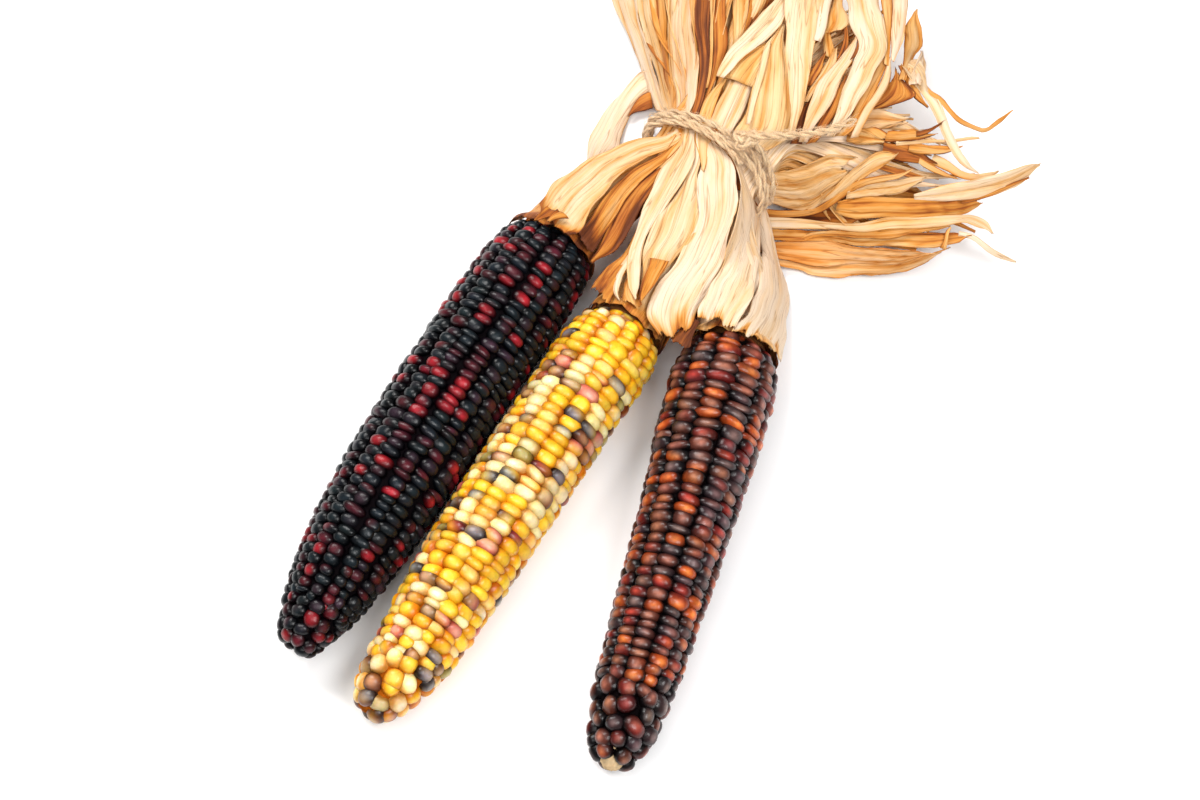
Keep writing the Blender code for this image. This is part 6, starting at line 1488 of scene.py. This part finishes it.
def jute_material():
    n = Nodes("jute")
    place = n.coordinates()
    fibre = n.noise(place, 2600.0, 4.0, 0.7, 1.2)
    patch = n.noise(place, 260.0, 2.0, 0.5)
    colour = n.ramp(fibre, [(0.28, srgb(212, 172, 130)), (0.48, srgb(242, 214, 174)), (0.70, srgb(254, 238, 208))])
    colour = n.mix(0.6, colour, n.ramp(patch, [(0.35, srgb(234, 203, 166)), (0.65, srgb(255, 243, 224))]), "MULTIPLY")
    # the twine's tints carry painted shade in the grooves between its ridges
    tint = n.attribute("tone", "Fac")
    colour = n.mix(1.0, colour, n.new("ShaderNodeCombineXYZ", X=tint, Y=tint, Z=tint).outputs[0], "MULTIPLY")
    shader = n.new("ShaderNodeBsdfPrincipled", Base_Color=colour, Roughness=0.92, Normal=n.bump(fibre, 0.7, 0.0006))
    shader.inputs["Sheen Weight"].default_value = 0.35
    shader.inputs["Sheen Roughness"].default_value = 0.5
    return n.finish(shader.outputs[0])


def worn_wraps():
    """The turns as they lie: drawn together at the left, spread and slipped forward at the right."""
    path = twine_wraps_path(30)
    c, s = math.cos(NECK_TURN), math.sin(NECK_TURN)
    x, y = path[:, 0] * c - path[:, 1] * s, path[:, 0] * s + path[:, 1] * c
    z = path[:, 2] - NECK_Z
    high = z / (NECK_HALF_HEIGHT + TWINE_RADIUS)
    middle = TWINE_AT + NECK_LEAN * z
    t = np.linspace(0.0, 1.0, len(path))
    right = smooth((x / NECK_HALF_WIDTH + 0.1) / 1.0)
    keep = 0.62 + 0.40 * right
    y = middle + (y - middle) * keep + 0.5 * np.sin(t * 47.0) - 3.2 * smooth((x - 12.0) / 14.0) * smooth((high + 0.6) / 0.8)
    # where the turns are drawn together the middle one rides up on the others
    ride = np.abs(np.sin(t * math.pi * TWINE_TURNS)) * 0 + np.exp(-((t - 0.5) / 0.17) ** 2)
    out = np.stack([x, z], axis=1)
    out = out / np.linalg.norm(out, axis=1)[:, None]
    lift = 0.35 + ride * (1.02 - keep) * 3.4 + 0.22 * np.sin(t * 61.0 + 1.0)
    x, z = x + out[:, 0] * lift, z + out[:, 1] * lift
    z = np.where(z < 0, np.maximum(z, path[:, 2] - NECK_Z - 0.25), z)
    return turned(np.stack([x, y, z + NECK_Z], axis=1))


def knot_path(centre):
    """An overhand knot lying on the turns."""
    t = np.linspace(0.0, 2 * math.pi, 70)
    x = 1.55 * (np.sin(t) + 2 * np.sin(2 * t))
    y = 1.35 * (np.cos(t) - 2 * np.cos(2 * t))
    z = -1.05 * np.sin(3 * t)
    return np.asarray(centre) + np.stack([x, y, z + 0.45 * x], axis=1) * np.array([1.0, 1.0, 0.8])


def make_twine():
    jute = jute_material()
    rng = seeded(5, 1)
    v, q, t, tone, line = laid_twine(twine_end_path(), TWINE_RADIUS * 0.94, rng, 420, lay=10.5, fray=11.0)
    end = on_root(mesh_piece("twine_end", v, q, t, {"tone": ("FLOAT", tone)}, [jute]), "jute", "twine_loose_end")
    v, q, t, tone, _ = laid_twine(worn_wraps(), TWINE_RADIUS * 0.80, rng, 2100, sides=8, step=0.9, lay=11.0)
    on_root(mesh_piece("twine_turns", v, q, t, {"tone": ("FLOAT", tone)}, [jute]), "jute", "twine_wraps")
    v, q, t, tone, _ = laid_twine(knot_path(np.array(LOOSE_END[0]) + (-0.6, -0.6, -0.4)), TWINE_RADIUS * 0.80, rng, 160, sides=8, step=0.6)
    on_root(mesh_piece("twine_knot", v, q, t, {"tone": ("FLOAT", tone)}, [jute]), "jute")


make_twine()

# ---------------------------------------------------------------------------
# floor and light
# ---------------------------------------------------------------------------
def area_light(name, place, target, size, power, colour=(1.0, 1.0, 1.0)):
    data = bpy.data.lights.new(name, "AREA")
    data.shape, data.size, data.energy, data.color = "DISK", size, power, colour
    obj = bpy.data.objects.new(name, data)
    bpy.context.scene.collection.objects.link(obj)
    place, target = np.asarray(place, float), np.asarray(target, float)
    z = place - target
    z /= np.linalg.norm(z)
    x = np.cross([0.0, 0.0, 1.0], z)
    x = np.array([1.0, 0.0, 0.0]) if np.linalg.norm(x) < 1e-3 else x / np.linalg.norm(x)
    y = np.cross(z, x)
    obj.matrix_world = Matrix([[x[0], y[0], z[0], place[0]], [x[1], y[1], z[1], place[1]], [x[2], y[2], z[2], place[2]], [0, 0, 0, 1]])
    return obj


def make_stage():
    n = Nodes("floor")
    grain = n.noise(n.coordinates(), 60.0, 2.0)
    colour = n.ramp(grain, [(0.3, (0.955, 0.955, 0.96)), (0.7, (0.97, 0.97, 0.97))])
    shader = n.new("ShaderNodeBsdfPrincipled", Base_Color=colour, Roughness=0.75)
    shader.inputs["Specular IOR Level"].default_value = 0.2
    material = n.finish(shader.outputs[0])
    low = float(cad_low[2])
    me = bpy.data.meshes.new("floor")
    me.from_pydata([(-4, -4, low), (4, -4, low), (4, 4, low), (-4, 4, low)], [], [(0, 1, 2, 3)])
    me.materials.append(material)
    floor = bpy.data.objects.new("floor", me)
    bpy.context.scene.collection.objects.link(floor)
    world = bpy.data.worlds.new("studio")
    bpy.context.scene.world = world
    world.use_nodes = True
    world.node_tree.nodes["Background"].inputs["Color"].default_value = (1.0, 1.0, 1.0, 1.0)
    world.node_tree.nodes["Background"].inputs["Strength"].default_value = 0.25
    area_light("key", (-0.75, 0.35, 1.15), (0.0, 0.0, 0.0), 0.80, 19.8, (1.0, 0.985, 0.965))
    area_light("side", (0.70, -0.30, 1.20), (0.0, 0.0, 0.0), 0.60, 14.8)
    area_light("top", (0.00, -0.60, 1.35), (0.0, 0.0, 0.0), 0.80, 6.3)
    bpy.context.scene.view_settings.view_transform = "Standard"
    bpy.context.scene.view_settings.look = "None"


make_stage()
